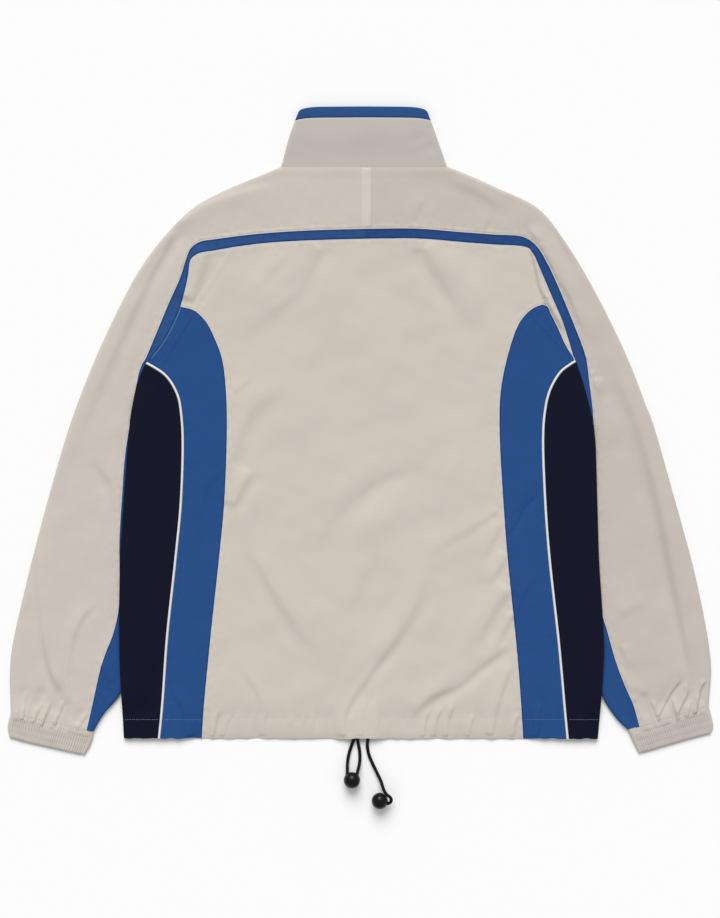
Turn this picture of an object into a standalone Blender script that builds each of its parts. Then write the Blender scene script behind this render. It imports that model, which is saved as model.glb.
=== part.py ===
"""A track jacket laid flat, back up: every cut piece of cloth, its zip and its drawcord.

Lengths in the tables are millimetres. x runs to the right from the middle of the jacket, y runs up
the back from the hem, and z runs up from the surface that the jacket lies on. Each piece of cloth
is a wall between two heights over its own outline, and neighbours share the points of their seam.
"""

import math
from collections import namedtuple

import bmesh
import bpy
import numpy as np
from mathutils import Matrix, Vector

# ---------------------------------------------------------------- driving sizes

WALL = 1.5  # cloth with its seam allowances
COLLAR_WALL = 1.9
CUFF_WALL = 1.8
SEAM_GAP = 0.3
FLAT_HEIGHT = 5.5  # two walls and the air between them
COLLAR_HEIGHT = 7.6
CUFF_HEIGHT = 7.0
RIM = 5.0  # how far in from a fold the cloth curls
RIM_EDGE = 1.0  # cloth showing at a folded edge, for each wall
MIDDLE_X = 0.06
MIDDLE_Y = 376.53  # half way from the cuffs' lowest point to the top of the collar

TUCK_LIFT = 5.9  # how far the body rises over the sleeve tucked under it
TUCK_RUN = 45.0  # how far inwards that rise fades out
HEM_FADE = (8.0, 52.0)  # heights between which the rise dies away to the hem

HEM_STITCH = 24.0  # height of the drawcord channel
HEM_ROWS = (5.0, 19.0, 24.0, 32.0)  # rows of points that shape the channel
CORD_LUMP = 3.4  # how far the drawcord's ends hold the hem open
CORD_LUMP_X = (-20.0, -12.5, 13.5, 21.0)  # where that rise starts, is full, ends and is gone
CORD_LUMP_Y = (9.0, 30.0)

PIPING_WIDTH = 3.0
PIPING_RISE = 0.9
STRIP_X = (1.0, 13.0)
STRIP_Y = (626.0, 697.5)
STRIP_WALL = 1.0
CENTRE_BACK_X = 7.0

ZIP_X = 5.0
ZIP_WIDTH = 8.0
ZIP_Y = (3.0, 761.5)
ZIP_WALL = 1.4
ZIP_RISE = 3.8  # how far slider and pull push the front up from the surface
ZIP_RISE_WIDTH = 28.0
ZIP_RISE_Y = (690.0, 740.0)

CORD = 4.0  # diameter
BALL = 20.0  # diameter
CORD_PLAY = 0.3

# ---------------------------------------------------------------- tables

# Every line is a list of stretches, and every stretch a list of (x, y) points on it. A stretch
# starts where the one before it ends, and the line runs smoothly through them all.
SIDES = {
    "left": {
        "sign": -1,
        # From the neck along shoulder and overarm to the cuff.
        "outline": [
            [(-97, 699), (-123, 688), (-150, 677)],
            [(-166, 670), (-201, 651), (-236, 618), (-271, 571), (-311, 493), (-326, 459)],
            [(-353, 389), (-382, 291), (-411, 178), (-426, 108), (-428, 81), (-427, 32)],
        ],
        # Upper edge of the stripe: centre back, corner, side panel, piping, its end.
        "stripe_top": [
            [(7, 623), (-58, 621), (-123, 617), (-179, 610), (-196, 607), (-207, 599)],
            [(-212, 588), (-220, 563), (-234, 532)],
            [(-251, 491), (-263, 463)],
            [(-266, 458.5)],
            [(-270.5, 447), (-273, 434)],
        ],
        # Lower edge of the stripe, with the same stations.
        "stripe_base": [
            [(7, 611), (-58, 609), (-123, 605), (-181, 596), (-199, 592), (-207, 585)],
            [(-210, 568), (-212, 557), (-220, 528)],
            [(-236, 493), (-246, 478), (-260, 461)],
            [(-263, 457.5)],
            [(-268, 446), (-273, 434)],
        ],
        # Back to side back, from the hem to the top of the blue.
        "side_seam": [
            [(-194, 0), (-192, 31), (-183, 125), (-173, 218), (-166, 293), (-163, 373),
             (-164, 422), (-169, 464), (-179, 491), (-189, 510), (-203, 523), (-220, 528)],
        ],
        # Middle of the piping, from the hem to the armhole.
        "piping": [
            [(-246, 0), (-242, 42), (-236, 125), (-226, 218), (-219, 293), (-217, 368),
             (-219, 398), (-222, 416), (-229, 432), (-239, 445), (-252, 454), (-261.5, 459.2)],
        ],
        # Outer fold of the body, from the hem to the end of the stripe.
        "side_fold": [
            [(-289, 0), (-291, 42), (-294, 109), (-293, 218), (-288, 302), (-281, 388)],
            [(-277.5, 411), (-273, 434)],
        ],
        # Beige to blue under the sleeve, from the armpit to the cuff.
        "under_seam": [
            [(-281, 388), (-287.5, 344), (-290.5, 302), (-294, 243), (-295, 160), (-302, 128),
             (-311, 105), (-318, 83), (-326, 47)],
        ],
        # Inner fold of the sleeve, mostly under the body.
        "sleeve_fold": [
            [(-281, 388), (-273, 328), (-266, 267), (-267, 182), (-275, 108), (-294, 54),
             (-313, 31), (-320, 20), (-326, 9)],
        ],
        "raglan": [[(-273, 434), (-258, 462), (-228, 505), (-188, 565), (-138, 640), (-82, 699)]],
        "cuff_outer": [[(-427, 32), (-431, 15), (-429, 2)]],
        "cuff_end": [[(-429, 2), (-408, -4), (-377, -11), (-350, -17), (-337, -19)]],
        "cuff_inner": [[(-326, 9), (-327, 2), (-331, -9), (-337, -19)]],
        "under_seam_end": 0.92,  # where that seam meets the cuff, along the cuff's own seam
        "rise": (455.0, 388.0),  # heights between which the body comes up over the sleeve
    },
    "right": {
        "sign": 1,
        "outline": [
            [(106, 699), (122, 693), (150, 681)],
            [(167, 673), (217, 648), (253, 603), (291, 538), (328, 461), (348, 409)],
            [(356, 389), (382, 299), (409, 199), (426, 111), (428, 84), (425, 41)],
        ],
        "stripe_top": [
            [(7, 623), (70, 623), (122, 619), (162, 616), (199, 613), (214, 603)],
            [(229, 579), (248, 537)],
            [(272, 477), (274.5, 469)],
            [(275.8, 464.5)],
            [(280, 431), (283, 405), (284.5, 384)],
        ],
        "stripe_base": [
            [(7, 611), (70, 611), (122, 607), (162, 604), (201, 601), (207, 598)],
            [(219, 574), (235, 537)],
            [(249, 503), (261.5, 463.5)],
            [(263.5, 459.5)],
            [(272, 434), (280, 404), (284.5, 384)],
        ],
        "side_seam": [
            [(199, 0), (197, 31), (191, 109), (180, 218), (175, 283), (170, 373), (171, 422),
             (178, 461), (191, 502), (199, 515), (211, 526), (222, 530.5)],
        ],
        "piping": [
            [(253, 0), (250, 31), (243, 109), (231, 218), (226, 283), (223, 368), (225, 398),
             (229, 419), (235, 434), (245, 449), (256, 457.5), (262.5, 461.5)],
        ],
        # Upper edge of the side back where it lies free of the stripe.
        "side_back_cap": [[(222, 530.5), (228, 528), (232, 520), (241, 502), (251, 480), (261.5, 463.5)]],
        "side_fold": [
            [(290, 0), (293, 39), (297, 108), (295, 156), (291, 218), (289, 283), (287, 352)],
            [(286, 368), (284.5, 384)],
        ],
        "under_seam": [
            [(287, 352), (287.5, 300), (289.5, 218), (293.5, 160), (302, 129), (311, 97),
             (322, 67), (333, 42)],
        ],
        "sleeve_fold": [
            [(287, 352), (278, 304), (268, 243), (268, 182), (278, 108), (297, 49), (308, 31),
             (317, 20), (327, 11)],
        ],
        "raglan": [[(284.5, 384), (276, 430), (258, 470), (228, 515), (188, 570), (142, 640),
                    (92, 699)]],
        "cuff_outer": [[(425, 41), (429, 27), (431, 14), (428, 7)]],
        "cuff_end": [[(428, 7), (409, 2), (374, -8), (350, -15), (340, -17)]],
        "cuff_inner": [[(327, 11), (329, 6), (334, -5), (340, -17)]],
        "under_seam_end": 0.86,
        "rise": (440.0, 352.0),
    },
}

# Cells along each stretch. Neighbours share these, so that their seams match point for point.
CELLS = {
    "centre": 3,
    "outline": (3, 26, 14),
    "stripe": (10, 5, 5, 1, 3),
    "side": 22,
    "side_fold": (20, 2),
    "under": 14,
    "raglan": 8,
}
SLEEVE_ACROSS = (0, 0.02, 0.05, 0.12, 0.21, 0.3, 0.39, 0.48, 0.57, 0.66, 0.75, 0.84, 0.92, 1)
FRONT_ACROSS = (0, 0.03, 0.07, 0.11, 0.15, 0.19, 0.24, 0.45, 0.7, 1)
SLEEVE_FRONT_ACROSS = (0, 0.03, 0.15, 0.4, 0.7, 0.9, 1)
UNDER_ACROSS = (0, 0.5, 0.85, 1)
SIDE_PANEL_CELLS = sum(CELLS["stripe"][4:])
HEM_DETAIL_ROWS = 5  # rows of the back at the hem with twice the points
CLOSER_AT_ARMHOLE = 1.3  # 1 would space the rows of the body evenly

# Collar sections from the neck seam up: height, left and right ends, how far the middle crowns.
CollarSection = namedtuple("CollarSection", "y left right crown")
COLLAR = [
    CollarSection(699.15, -97, 106, 0),
    CollarSection(705, -95, 103.5, 0),
    CollarSection(713, -93, 101, 0.5),
    CollarSection(725, -90, 96.5, 1.5),
    CollarSection(740, -85.5, 91.5, 2.5),
    CollarSection(755, -80, 86, 3.5),
]
COLLAR_BAND = [
    CollarSection(755.3, -79.9, 85.9, 3.5),
    CollarSection(761, -77.7, 83.8, 3.8),
    CollarSection(766.5, -75.6, 81.8, 4),
    CollarSection(768, -74, 80, 4),
]

# Main folds of the cloth: start, bend and end of the line, its half width, and its height, which
# is below zero for a trough.
Fold = namedtuple("Fold", "x0 y0 x1 y1 x2 y2 width height")
BODY_FOLDS = [
    Fold(66, 600, 80, 570, 140, 500, 12, -1.7),
    Fold(100, 600, 118, 570, 165, 520, 16, 1.2),
    Fold(-38, 604, -60, 575, -90, 535, 11, -1.4),
    Fold(-90, 590, -110, 560, -130, 520, 16, 1.0),
    Fold(50, 335, 5, 305, -40, 268, 15, -1.5),
    Fold(80, 310, 30, 275, -10, 235, 20, 1.2),
    Fold(218, 302, 198, 280, 180, 248, 8, -1.6),
    Fold(60, 122, -8, 60, -16, 0, 10, -1.5),
    Fold(16, 60, 4, 38, 6, 4, 7, -1.4),
    Fold(186, 110, 110, 60, 66, 4, 10, -1.7),
    Fold(218, 60, 220, 30, 219, 2, 6, -1.4),
    Fold(-150, 420, -140, 300, -152, 180, 20, 1.0),
    Fold(140, 430, 128, 300, 150, 200, 22, 0.9),
]
SLEEVE_FOLDS = [
    Fold(-205, 640, -240, 590, -288, 528, 13, -1.7),
    Fold(-329, 345, -318, 320, -311, 296, 11, -1.5),
    Fold(-345, 470, -372, 380, -392, 290, 20, 1.1),
    Fold(-386, 66, -392, 48, -396, 34, 6, -1.8),
    Fold(-364, 72, -370, 45, -374, 28, 7, -2.0),
    Fold(-338, 40, -343, 26, -345, 18, 6, -1.4),
    Fold(-410, 64, -411, 50, -412, 34, 5, -1.5),
    Fold(280, 452, 292, 432, 300, 406, 10, -1.6),
    Fold(335, 345, 358, 255, 398, 90, 12, -2.0),
    Fold(360, 330, 384, 230, 408, 140, 14, 1.3),
    Fold(397, 76, 380, 55, 362, 30, 8, -2.0),
    Fold(402, 62, 400, 48, 399, 38, 5, -1.6),
    Fold(421, 72, 417, 55, 414, 42, 5, -1.3),
    Fold(345, 60, 349, 42, 352, 24, 6, -1.4),
]
# Short gathers that the drawcord makes in the hem: where along the hem, half width, height.
Gather = namedtuple("Gather", "x width height reach")
HEM_GATHERS = [
    Gather(-181, 6, 1.3, 46), Gather(-162, 5, 1.1, 38), Gather(-141, 7, 0.9, 50),
    Gather(-126, 5, -1.1, 40), Gather(-112, 6, 1.2, 34), Gather(-88, 8, 0.8, 44),
    Gather(-62, 6, 1.0, 36), Gather(-38, 6, -1.0, 42), Gather(-27, 5, 1.1, 34),
    Gather(20, 6, 1.0, 40), Gather(42, 7, 0.9, 48), Gather(63, 5, 1.2, 34),
    Gather(81, 5, 1.1, 44), Gather(95, 5, -1.1, 38), Gather(108, 5, 1.3, 50),
    Gather(135, 6, 1.1, 46), Gather(161, 5, 1.3, 40), Gather(170, 4, -1.0, 34),
    Gather(188, 5, 1.1, 48),
]

CUFF_RIBS = 13
CUFF_RIB_HEIGHT = 0.5
CUFF_PUFF_HEIGHT = 0.6
CUFF_PUFFS = 4  # bands of cloth between three rows of elastic and the seams
CUFF_END_CELLS = 3
CUFF_ROWS = (0, 0.08, 0.25, 0.38, 0.5, 0.62, 0.75, 0.92, 1)

# Drawcords: points of the route, in order from the hem. A point's z is the cord's middle.
CordPoint = namedtuple("CordPoint", "x y z")
BALLS = {"left": CordPoint(-10.4, -49.4, 10), "right": CordPoint(23.6, -74.6, 10)}
CORDS = {
    "left": [
        CordPoint(-7.8, 6, 3.95), CordPoint(-8.2, -0.5, 3.85), CordPoint(-10.6, -7, 2.6),
        CordPoint(-13.2, -15, 2.3), CordPoint(-15.2, -24, 2.8), CordPoint(-16, -32, 4.6),
        CordPoint(-16, -39, 7.6), CordPoint(-16.2, -45, 9.6), CordPoint(-15, -50.5, 10),
        CordPoint(-11, -53.2, 10), CordPoint(-7, -51.5, 10), CordPoint(-4.8, -46.5, 9.7),
        CordPoint(-3.6, -39.5, 7.8), CordPoint(-1.6, -32, 4.6), CordPoint(-0.7, -24, 2.8),
        CordPoint(-1, -15, 2.3), CordPoint(-2.4, -7, 2.6), CordPoint(-3.4, -0.5, 3.85),
        CordPoint(-3.3, 6, 3.95),
    ],
    "right": [
        CordPoint(9.4, 6, 3.95), CordPoint(9, -0.5, 3.85), CordPoint(8.4, -9, 2.4),
        CordPoint(10.3, -19, 2.3), CordPoint(14.8, -30, 2.5), CordPoint(20.6, -42, 3.4),
        CordPoint(25.4, -52, 6.2), CordPoint(28.4, -61, 10.6), CordPoint(31.8, -66.2, 13.6),
        CordPoint(35.6, -69, 14.2), CordPoint(37.6, -73, 12.8), CordPoint(35.4, -77, 10.8),
        CordPoint(31, -78, 10), CordPoint(25.5, -76.5, 10),
    ],
}
CORD_STEP = 3.0  # spacing of the points of a cord's tube

# Zip slider, measured from the axis of its pull.
SLIDER_Y = 757.0
PULL_AXIS_Z = 1.9
SLIDER_HALF_WIDTH = 3.8
SLIDER_BACK = -4.5
SLIDER_FRONT = 7.0
PLATE_LOW = (2.65, 3.5)
PLATE_HIGH = (5.5, 6.3)
NECK_HALF_WIDTH = 1.6
NECK_LENGTH = 2.0
BRIDGE_HALF_WIDTH = 1.1
BRIDGE_REACH = 2.6
BRIDGE_LEG = 0.9
BRIDGE_CROWN = (0.4, 1.1)
PULL_THICK = 1.0
PULL_HALF_WIDTH = 3.0
PULL_EYE = (-3.7, -0.5)
PULL_EYE_HALF_WIDTH = 1.6
PULL_END = -26.0
PULL_TIP_HALF_WIDTH = 2.2

# Colour, roughness and metallic value of each material.
Finish = namedtuple("Finish", "colour roughness metallic")
FINISHES = {
    "beige": Finish((0.62, 0.56, 0.49), 0.78, 0),
    "blue": Finish((0.027, 0.085, 0.25), 0.72, 0),
    "navy": Finish((0.010, 0.012, 0.025), 0.75, 0),
    "piping": Finish((0.78, 0.76, 0.72), 0.6, 0),
    "cord": Finish((0.008, 0.008, 0.010), 0.6, 0),
    "ball": Finish((0.010, 0.010, 0.012), 0.25, 0),
    "zip": Finish((0.55, 0.5, 0.44), 0.5, 0),
    "metal": Finish((0.55, 0.55, 0.56), 0.3, 1),
}


# ---------------------------------------------------------------- lines and patches


def ease(t):
    t = np.clip(t, 0, 1)
    return t * t * (3 - 2 * t)


def smooth_line(knots, steps=16):
    """Points on a smooth curve through the knots, and the index of each knot among them."""
    knots = np.asarray(knots, float)
    gaps = np.sqrt(np.linalg.norm(np.diff(knots, axis=0), axis=1))
    slopes = np.diff(knots, axis=0) / gaps[:, None]
    inner = (slopes[:-1] * gaps[1:, None] + slopes[1:] * gaps[:-1, None]) / (gaps[:-1] + gaps[1:])[:, None]
    tangents = np.vstack([slopes[:1], inner, slopes[-1:]])
    t = np.linspace(0, 1, steps, endpoint=False)[:, None]
    curve = []
    for i, gap in enumerate(gaps):
        curve.append(
            (2 * t**3 - 3 * t**2 + 1) * knots[i]
            + (t**3 - 2 * t**2 + t) * gap * tangents[i]
            + (3 * t**2 - 2 * t**3) * knots[i + 1]
            + (t**3 - t**2) * gap * tangents[i + 1]
        )
    return np.vstack(curve + [knots[-1:]]), np.arange(len(knots)) * steps


def at_lengths(points, lengths):
    """The points at these lengths along a polyline."""
    steps = np.linalg.norm(np.diff(points, axis=0), axis=1)
    along = np.concatenate([[0], np.cumsum(steps)])
    return np.stack([np.interp(lengths, along, points[:, i]) for i in range(points.shape[1])], axis=1)


def length_of(points):
    return float(np.linalg.norm(np.diff(points, axis=0), axis=1).sum())


def spread(points, cells, first=()):
    """Points along a polyline, even, or after some fixed lengths and closer towards its end."""
    total = length_of(points)
    if not first:
        return at_lengths(points, np.linspace(0, total, cells + 1))
    share = 1 - np.linspace(1, 0, cells - len(first) + 1) ** CLOSER_AT_ARMHOLE
    rest = first[-1] + (total - first[-1]) * share
    return at_lengths(points, np.concatenate([[0.0], first[:-1], rest]))


def stretches(table, cells, first=()):
    """Each stretch of a line, cut into its cells. The fixed first lengths are on the first one."""
    knots = [point for stretch in table for point in stretch]
    curve, index = smooth_line(knots)
    ends = np.cumsum([len(stretch) for stretch in table]) - 1
    found = []
    start = 0
    for n, end in enumerate(ends):
        found.append(spread(curve[index[start] : index[end] + 1], cells[n], first if n == 0 else ()))
        start = end
    return found


def chain(*lines):
    """Lines that meet end to end, as one."""
    return np.vstack([lines[0]] + [line[1:] for line in lines[1:]])


def straight(a, b, cells):
    return np.linspace(a, b, cells + 1)


def ruled(first, second, across):
    """Rows of points from one line to another, at these shares of the way."""
    share = np.asarray(across, float)[None, :, None]
    return first[:, None, :] * (1 - share) + second[:, None, :] * share


def coons(left, right, bottom, top):
    """Rows of points inside four lines: left and right run up, bottom and top run right."""
    v = np.linspace(0, 1, len(left))[:, None, None]
    u = np.linspace(0, 1, len(bottom))[None, :, None]
    sides = (1 - u) * left[:, None] + u * right[:, None]
    ends = (1 - v) * bottom[None] + v * top[None]
    corners = (1 - v) * ((1 - u) * bottom[0] + u * bottom[-1]) + v * ((1 - u) * top[0] + u * top[-1])
    return sides + ends - corners


def distance_to(x, y, lines):
    """Distance of each point to the nearest of these lines."""
    points = np.stack([np.ravel(x), np.ravel(y)], axis=1)
    nearest = np.full(len(points), np.inf)
    for line in lines:
        for a, b in zip(line[:-1], line[1:]):
            along = b - a
            share = np.clip((points - a) @ along / max(along @ along, 1e-9), 0, 1)
            gap = np.linalg.norm(points - a - share[:, None] * along, axis=1)
            nearest = np.minimum(nearest, gap)
    return nearest.reshape(np.shape(x))


# ---------------------------------------------------------------- the lines of each side


def side_lines(name):
    """Every seam and fold of one side, cut into points."""
    table = SIDES[name]
    sign = table["sign"]
    line = {"sign": sign}
    stripe = CELLS["stripe"]
    line["top"] = stretches(table["stripe_top"], stripe)
    line["base"] = stretches(table["stripe_base"], stripe)
    line["outline"] = stretches(table["outline"], CELLS["outline"])
    line["side_seam"] = stretches(table["side_seam"], [CELLS["side"]], HEM_ROWS)[0]
    line["side_fold"] = stretches(table["side_fold"], CELLS["side_fold"], HEM_ROWS)
    line["sleeve_fold"] = stretches(table["sleeve_fold"], [CELLS["under"]])[0]
    line["raglan"] = stretches(table["raglan"], [CELLS["raglan"]])[0]
    cuff_seam = line["outline"][-1][-1], line["sleeve_fold"][-1]
    under_end = cuff_seam[0] + table["under_seam_end"] * (cuff_seam[1] - cuff_seam[0])
    under = [table["under_seam"][0] + [tuple(under_end)]]
    line["under_seam"] = stretches(under, [CELLS["under"]])[0]
    line["piping_blue"], line["piping_navy"] = piping_edges(table, sign, line["base"])
    if "side_back_cap" in table:
        line["cap"] = stretches(table["side_back_cap"], stripe[2:3])[0]
    else:
        line["cap"] = line["base"][2]
    neck = np.array([CENTRE_BACK_X, line["outline"][0][0][1]])
    line["centre"] = straight(neck, line["top"][0][0], CELLS["centre"])
    return line


def piping_edges(table, sign, base):
    """The two edges of the piping, ending on the stripe."""
    middle, _ = smooth_line([point for stretch in table["piping"] for point in stretch])
    steps = np.gradient(middle, axis=0)
    normal = np.stack([-steps[:, 1], steps[:, 0]], axis=1)
    normal *= -sign / np.linalg.norm(normal, axis=1)[:, None]
    edges = []
    for shift, end in ((-PIPING_WIDTH / 2, base[2][-1]), (PIPING_WIDTH / 2, base[3][-1])):
        edge = middle + shift * normal
        edge[-1] = end
        edges.append(spread(edge, CELLS["side"], HEM_ROWS))
        edges[-1][0, 1] = 0.0
    return edges


LINES = {name: side_lines(name) for name in SIDES}


# ---------------------------------------------------------------- heights of the cloth


def line_distance(x, y, fold, steps=20):
    """Distance of each point to a fold's curve, and where along the curve the nearest point is."""
    t = np.linspace(0, 1, steps + 1)
    start, bend, end = (np.array([fold.x0, fold.y0]), np.array([fold.x1, fold.y1]), np.array([fold.x2, fold.y2]))
    middle = 2 * bend - (start + end) / 2
    curve = (1 - t)[:, None] ** 2 * start + (2 * t * (1 - t))[:, None] * middle + t[:, None] ** 2 * end
    points = np.stack([np.ravel(x), np.ravel(y)], axis=1)
    best = np.full(len(points), np.inf)
    where = np.zeros(len(points))
    for n, (a, b) in enumerate(zip(curve[:-1], curve[1:])):
        along = b - a
        share = np.clip((points - a) @ along / (along @ along), 0, 1)
        gap = np.linalg.norm(points - a - share[:, None] * along, axis=1)
        closer = gap < best
        best[closer] = gap[closer]
        where[closer] = (n + share[closer]) / steps
    return best.reshape(np.shape(x)), where.reshape(np.shape(x))


def fold_relief(x, y, folds):
    """Ridges and troughs, each strongest in its middle and dying away towards its ends."""
    relief = np.zeros(np.shape(x))
    for fold in folds:
        gap, where = line_distance(x, y, fold)
        ends = ease(where / 0.3) * ease((1 - where) / 0.3)
        relief += fold.height * np.exp(-((gap / fold.width) ** 2)) * (0.25 + 0.75 * ends)
    return relief


def hem_relief(x, y):
    """The channel of the drawcord, and the gathers that the cord pulls into it."""
    channel = 0.7 * ease(y / 6) * ease((HEM_STITCH - y) / 5) - 0.7 * np.exp(-(((y - HEM_STITCH) / 3) ** 2))
    turned = -0.8 * np.exp(-((y / 2.5) ** 2))
    gathers = np.zeros(np.shape(x))
    for gather in HEM_GATHERS:
        fade = 1 - ease(y / gather.reach)
        gathers += gather.height * np.exp(-(((x - gather.x) / gather.width) ** 2)) * fade
    rise, full, end, gone = CORD_LUMP_X
    lump = CORD_LUMP * ease((x - rise) / (full - rise)) * ease((gone - x) / (gone - end))
    lump = lump * (1 - ease((y - CORD_LUMP_Y[0]) / (CORD_LUMP_Y[1] - CORD_LUMP_Y[0])))
    return channel + turned + np.where(lump > 0.5, np.maximum(gathers, 0), gathers) + lump


def fold_x(line, y):
    """Where the sleeve's inner fold lies at this height, or the body's above the armpit."""
    path = np.vstack([line["side_fold"][0][-1:], line["sleeve_fold"]])
    order = np.argsort(path[:, 1])
    return np.interp(y, path[order, 1], path[order, 0])


def body_lift(x, y):
    """How far the body rises over the sleeves tucked under its sides."""
    total = np.zeros(np.shape(x))
    for name, line in LINES.items():
        start, full = SIDES[name]["rise"]
        inwards = (fold_x(line, y) - x) * line["sign"]
        across = 1 - ease((inwards - 2) / TUCK_RUN)
        along = ease((start - y) / (start - full)) * ease((y - HEM_FADE[0]) / (HEM_FADE[1] - HEM_FADE[0]))
        total += TUCK_LIFT * across * along
    return total


def zip_lift(x, y):
    """How far the zip's slider and pull hold the front up."""
    across = np.exp(-(((x - ZIP_X) / ZIP_RISE_WIDTH) ** 2))
    return ZIP_RISE * across * ease((y - ZIP_RISE_Y[0]) / (ZIP_RISE_Y[1] - ZIP_RISE_Y[0]))


def curl(x, y, rims):
    """0 on a folded edge, rising in a quarter round to 1 inside it."""
    if not rims:
        return np.ones(np.shape(x))
    inside = np.clip(distance_to(x, y, rims) / RIM, 0, 1)
    return np.sqrt(np.clip(1 - (1 - inside) ** 2, 0, 1))


def back_heights(relief, lift, rims):
    """Top and underside of a piece of the upper layer."""

    def top(x, y):
        middle = FLAT_HEIGHT / 2 + lift(x, y)
        edge = middle + SEAM_GAP / 2 + RIM_EDGE
        full = FLAT_HEIGHT + lift(x, y) + relief(x, y)
        return edge + (full - edge) * curl(x, y, rims)

    def underside(x, y):
        middle = FLAT_HEIGHT / 2 + lift(x, y) + SEAM_GAP / 2
        full = FLAT_HEIGHT + lift(x, y) + relief(x, y) - WALL
        return middle + (full - middle) * curl(x, y, rims)

    return top, underside


def front_heights(lift, rims):
    """Top and underside of a piece of the lower layer, whose underside lies on the surface."""

    def top(x, y):
        rim = FLAT_HEIGHT / 2 - SEAM_GAP / 2
        return lift(x, y) + rim + (WALL - rim) * curl(x, y, rims)

    def underside(x, y):
        rim = FLAT_HEIGHT / 2 - SEAM_GAP / 2 - RIM_EDGE
        return lift(x, y) + rim * (1 - curl(x, y, rims))

    return top, underside


def no_lift(x, y):
    return np.zeros(np.shape(x))


def body_relief(x, y):
    return fold_relief(x, y, BODY_FOLDS) + hem_relief(x, y)


def sleeve_relief(x, y):
    """Folds of yoke and sleeve, which die away where the sleeve goes under the body."""
    clear = np.ones(np.shape(x))
    for name, line in LINES.items():
        path = line["side_fold"][0]
        edge = np.interp(y, path[:, 1], path[:, 0])
        outside = (x - edge) * line["sign"]
        below = y < SIDES[name]["rise"][0]
        mine = (np.sign(x) == line["sign"]) & below
        clear = np.where(mine, ease((outside - 2) / 14), clear)
    return fold_relief(x, y, SLEEVE_FOLDS) * clear


# ---------------------------------------------------------------- solids


def to_world(x, y, z):
    return ((x - MIDDLE_X) / 1000, (y - MIDDLE_Y) / 1000, z / 1000)


def material(name):
    found = bpy.data.materials.get(name)
    if found:
        return found
    finish = FINISHES[name]
    made = bpy.data.materials.new(name)
    made.use_nodes = True
    shader = made.node_tree.nodes["Principled BSDF"]
    shader.inputs["Base Color"].default_value = (*finish.colour, 1)
    shader.inputs["Roughness"].default_value = finish.roughness
    shader.inputs["Metallic"].default_value = finish.metallic
    made.diffuse_color = (*finish.colour, 1)
    return made


def add_object(name, vertices, faces, finish):
    """A mesh object from corners in millimetres, with its faces turned outwards."""
    mesh = bpy.data.meshes.new(name)
    mesh.from_pydata([to_world(*corner) for corner in vertices], [], faces)
    shape = bmesh.new()
    shape.from_mesh(mesh)
    bmesh.ops.recalc_face_normals(shape, faces=shape.faces)
    shape.to_mesh(mesh)
    shape.free()
    mesh.shade_smooth()
    mesh.set_sharp_from_angle(angle=math.radians(50))
    mesh.materials.append(material(finish))
    made = bpy.data.objects.new(name, mesh)
    bpy.context.scene.collection.objects.link(made)
    return made


class Plan:
    """The outline of a piece seen from above, as a mesh of welded points."""

    def __init__(self):
        self.points = []
        self.index = {}
        self.faces = []

    def corner(self, point):
        key = (round(float(point[0]), 3), round(float(point[1]), 3))
        if key not in self.index:
            self.index[key] = len(self.points)
            self.points.append(key)
        return self.index[key]

    def face(self, *points):
        corners = []
        for point in points:
            corner = self.corner(point)
            if corner not in corners:
                corners.append(corner)
        if len(corners) < 3:
            return
        xy = np.array([self.points[corner] for corner in corners])
        after = np.roll(xy, -1, axis=0)
        area = (xy[:, 0] * after[:, 1] - xy[:, 1] * after[:, 0]).sum()
        self.faces.append(corners if area > 0 else corners[::-1])

    def grid(self, rows):
        for low, high in zip(rows[:-1], rows[1:]):
            for i in range(len(low) - 1):
                self.face(low[i], low[i + 1], high[i + 1], high[i])
        return self

    def step(self, fine, coarse):
        """Joins a row to the next one, which has half as many points."""
        for i in range(len(coarse) - 1):
            left, middle, right = fine[2 * i], fine[2 * i + 1], fine[2 * i + 2]
            self.face(left, middle, coarse[i])
            self.face(middle, coarse[i + 1], coarse[i])
            self.face(middle, right, coarse[i + 1])
        return self

    def rim(self):
        """Each corner's neighbours along the outline: {corner: (before, after)}."""
        sides = {(a, b) for face in self.faces for a, b in zip(face, face[1:] + face[:1])}
        open_sides = [side for side in sides if side[::-1] not in sides]
        before = {b: a for a, b in open_sides}
        return {a: (before[a], b) for a, b in open_sides}

    def inset(self, distance):
        """The points, with the outline drawn in by this distance."""
        points = np.array(self.points, float)
        moved = points.copy()
        for corner, (before, after) in self.rim().items():
            first = points[corner] - points[before]
            second = points[after] - points[corner]
            normals = [np.array([-d[1], d[0]]) / np.linalg.norm(d) for d in (first, second)]
            bisector = normals[0] + normals[1]
            reach = max(1 + normals[0] @ normals[1], 0.25)
            moved[corner] += distance * bisector / reach
        return moved


def cloth(name, plan, heights, finish):
    """A wall of cloth over a plan, between the heights of its top and its underside."""
    points = plan.inset(SEAM_GAP / 2)
    x, y = points[:, 0], points[:, 1]
    top, underside = (level(x, y) for level in heights)
    count = len(points)
    vertices = list(zip(x, y, top)) + list(zip(x, y, underside))
    faces = [list(face) for face in plan.faces]
    faces += [[corner + count for corner in reversed(face)] for face in plan.faces]
    for corner, (_, after) in plan.rim().items():
        faces.append([after, corner, corner + count, after + count])
    return add_object(name, vertices, faces, finish)


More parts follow.
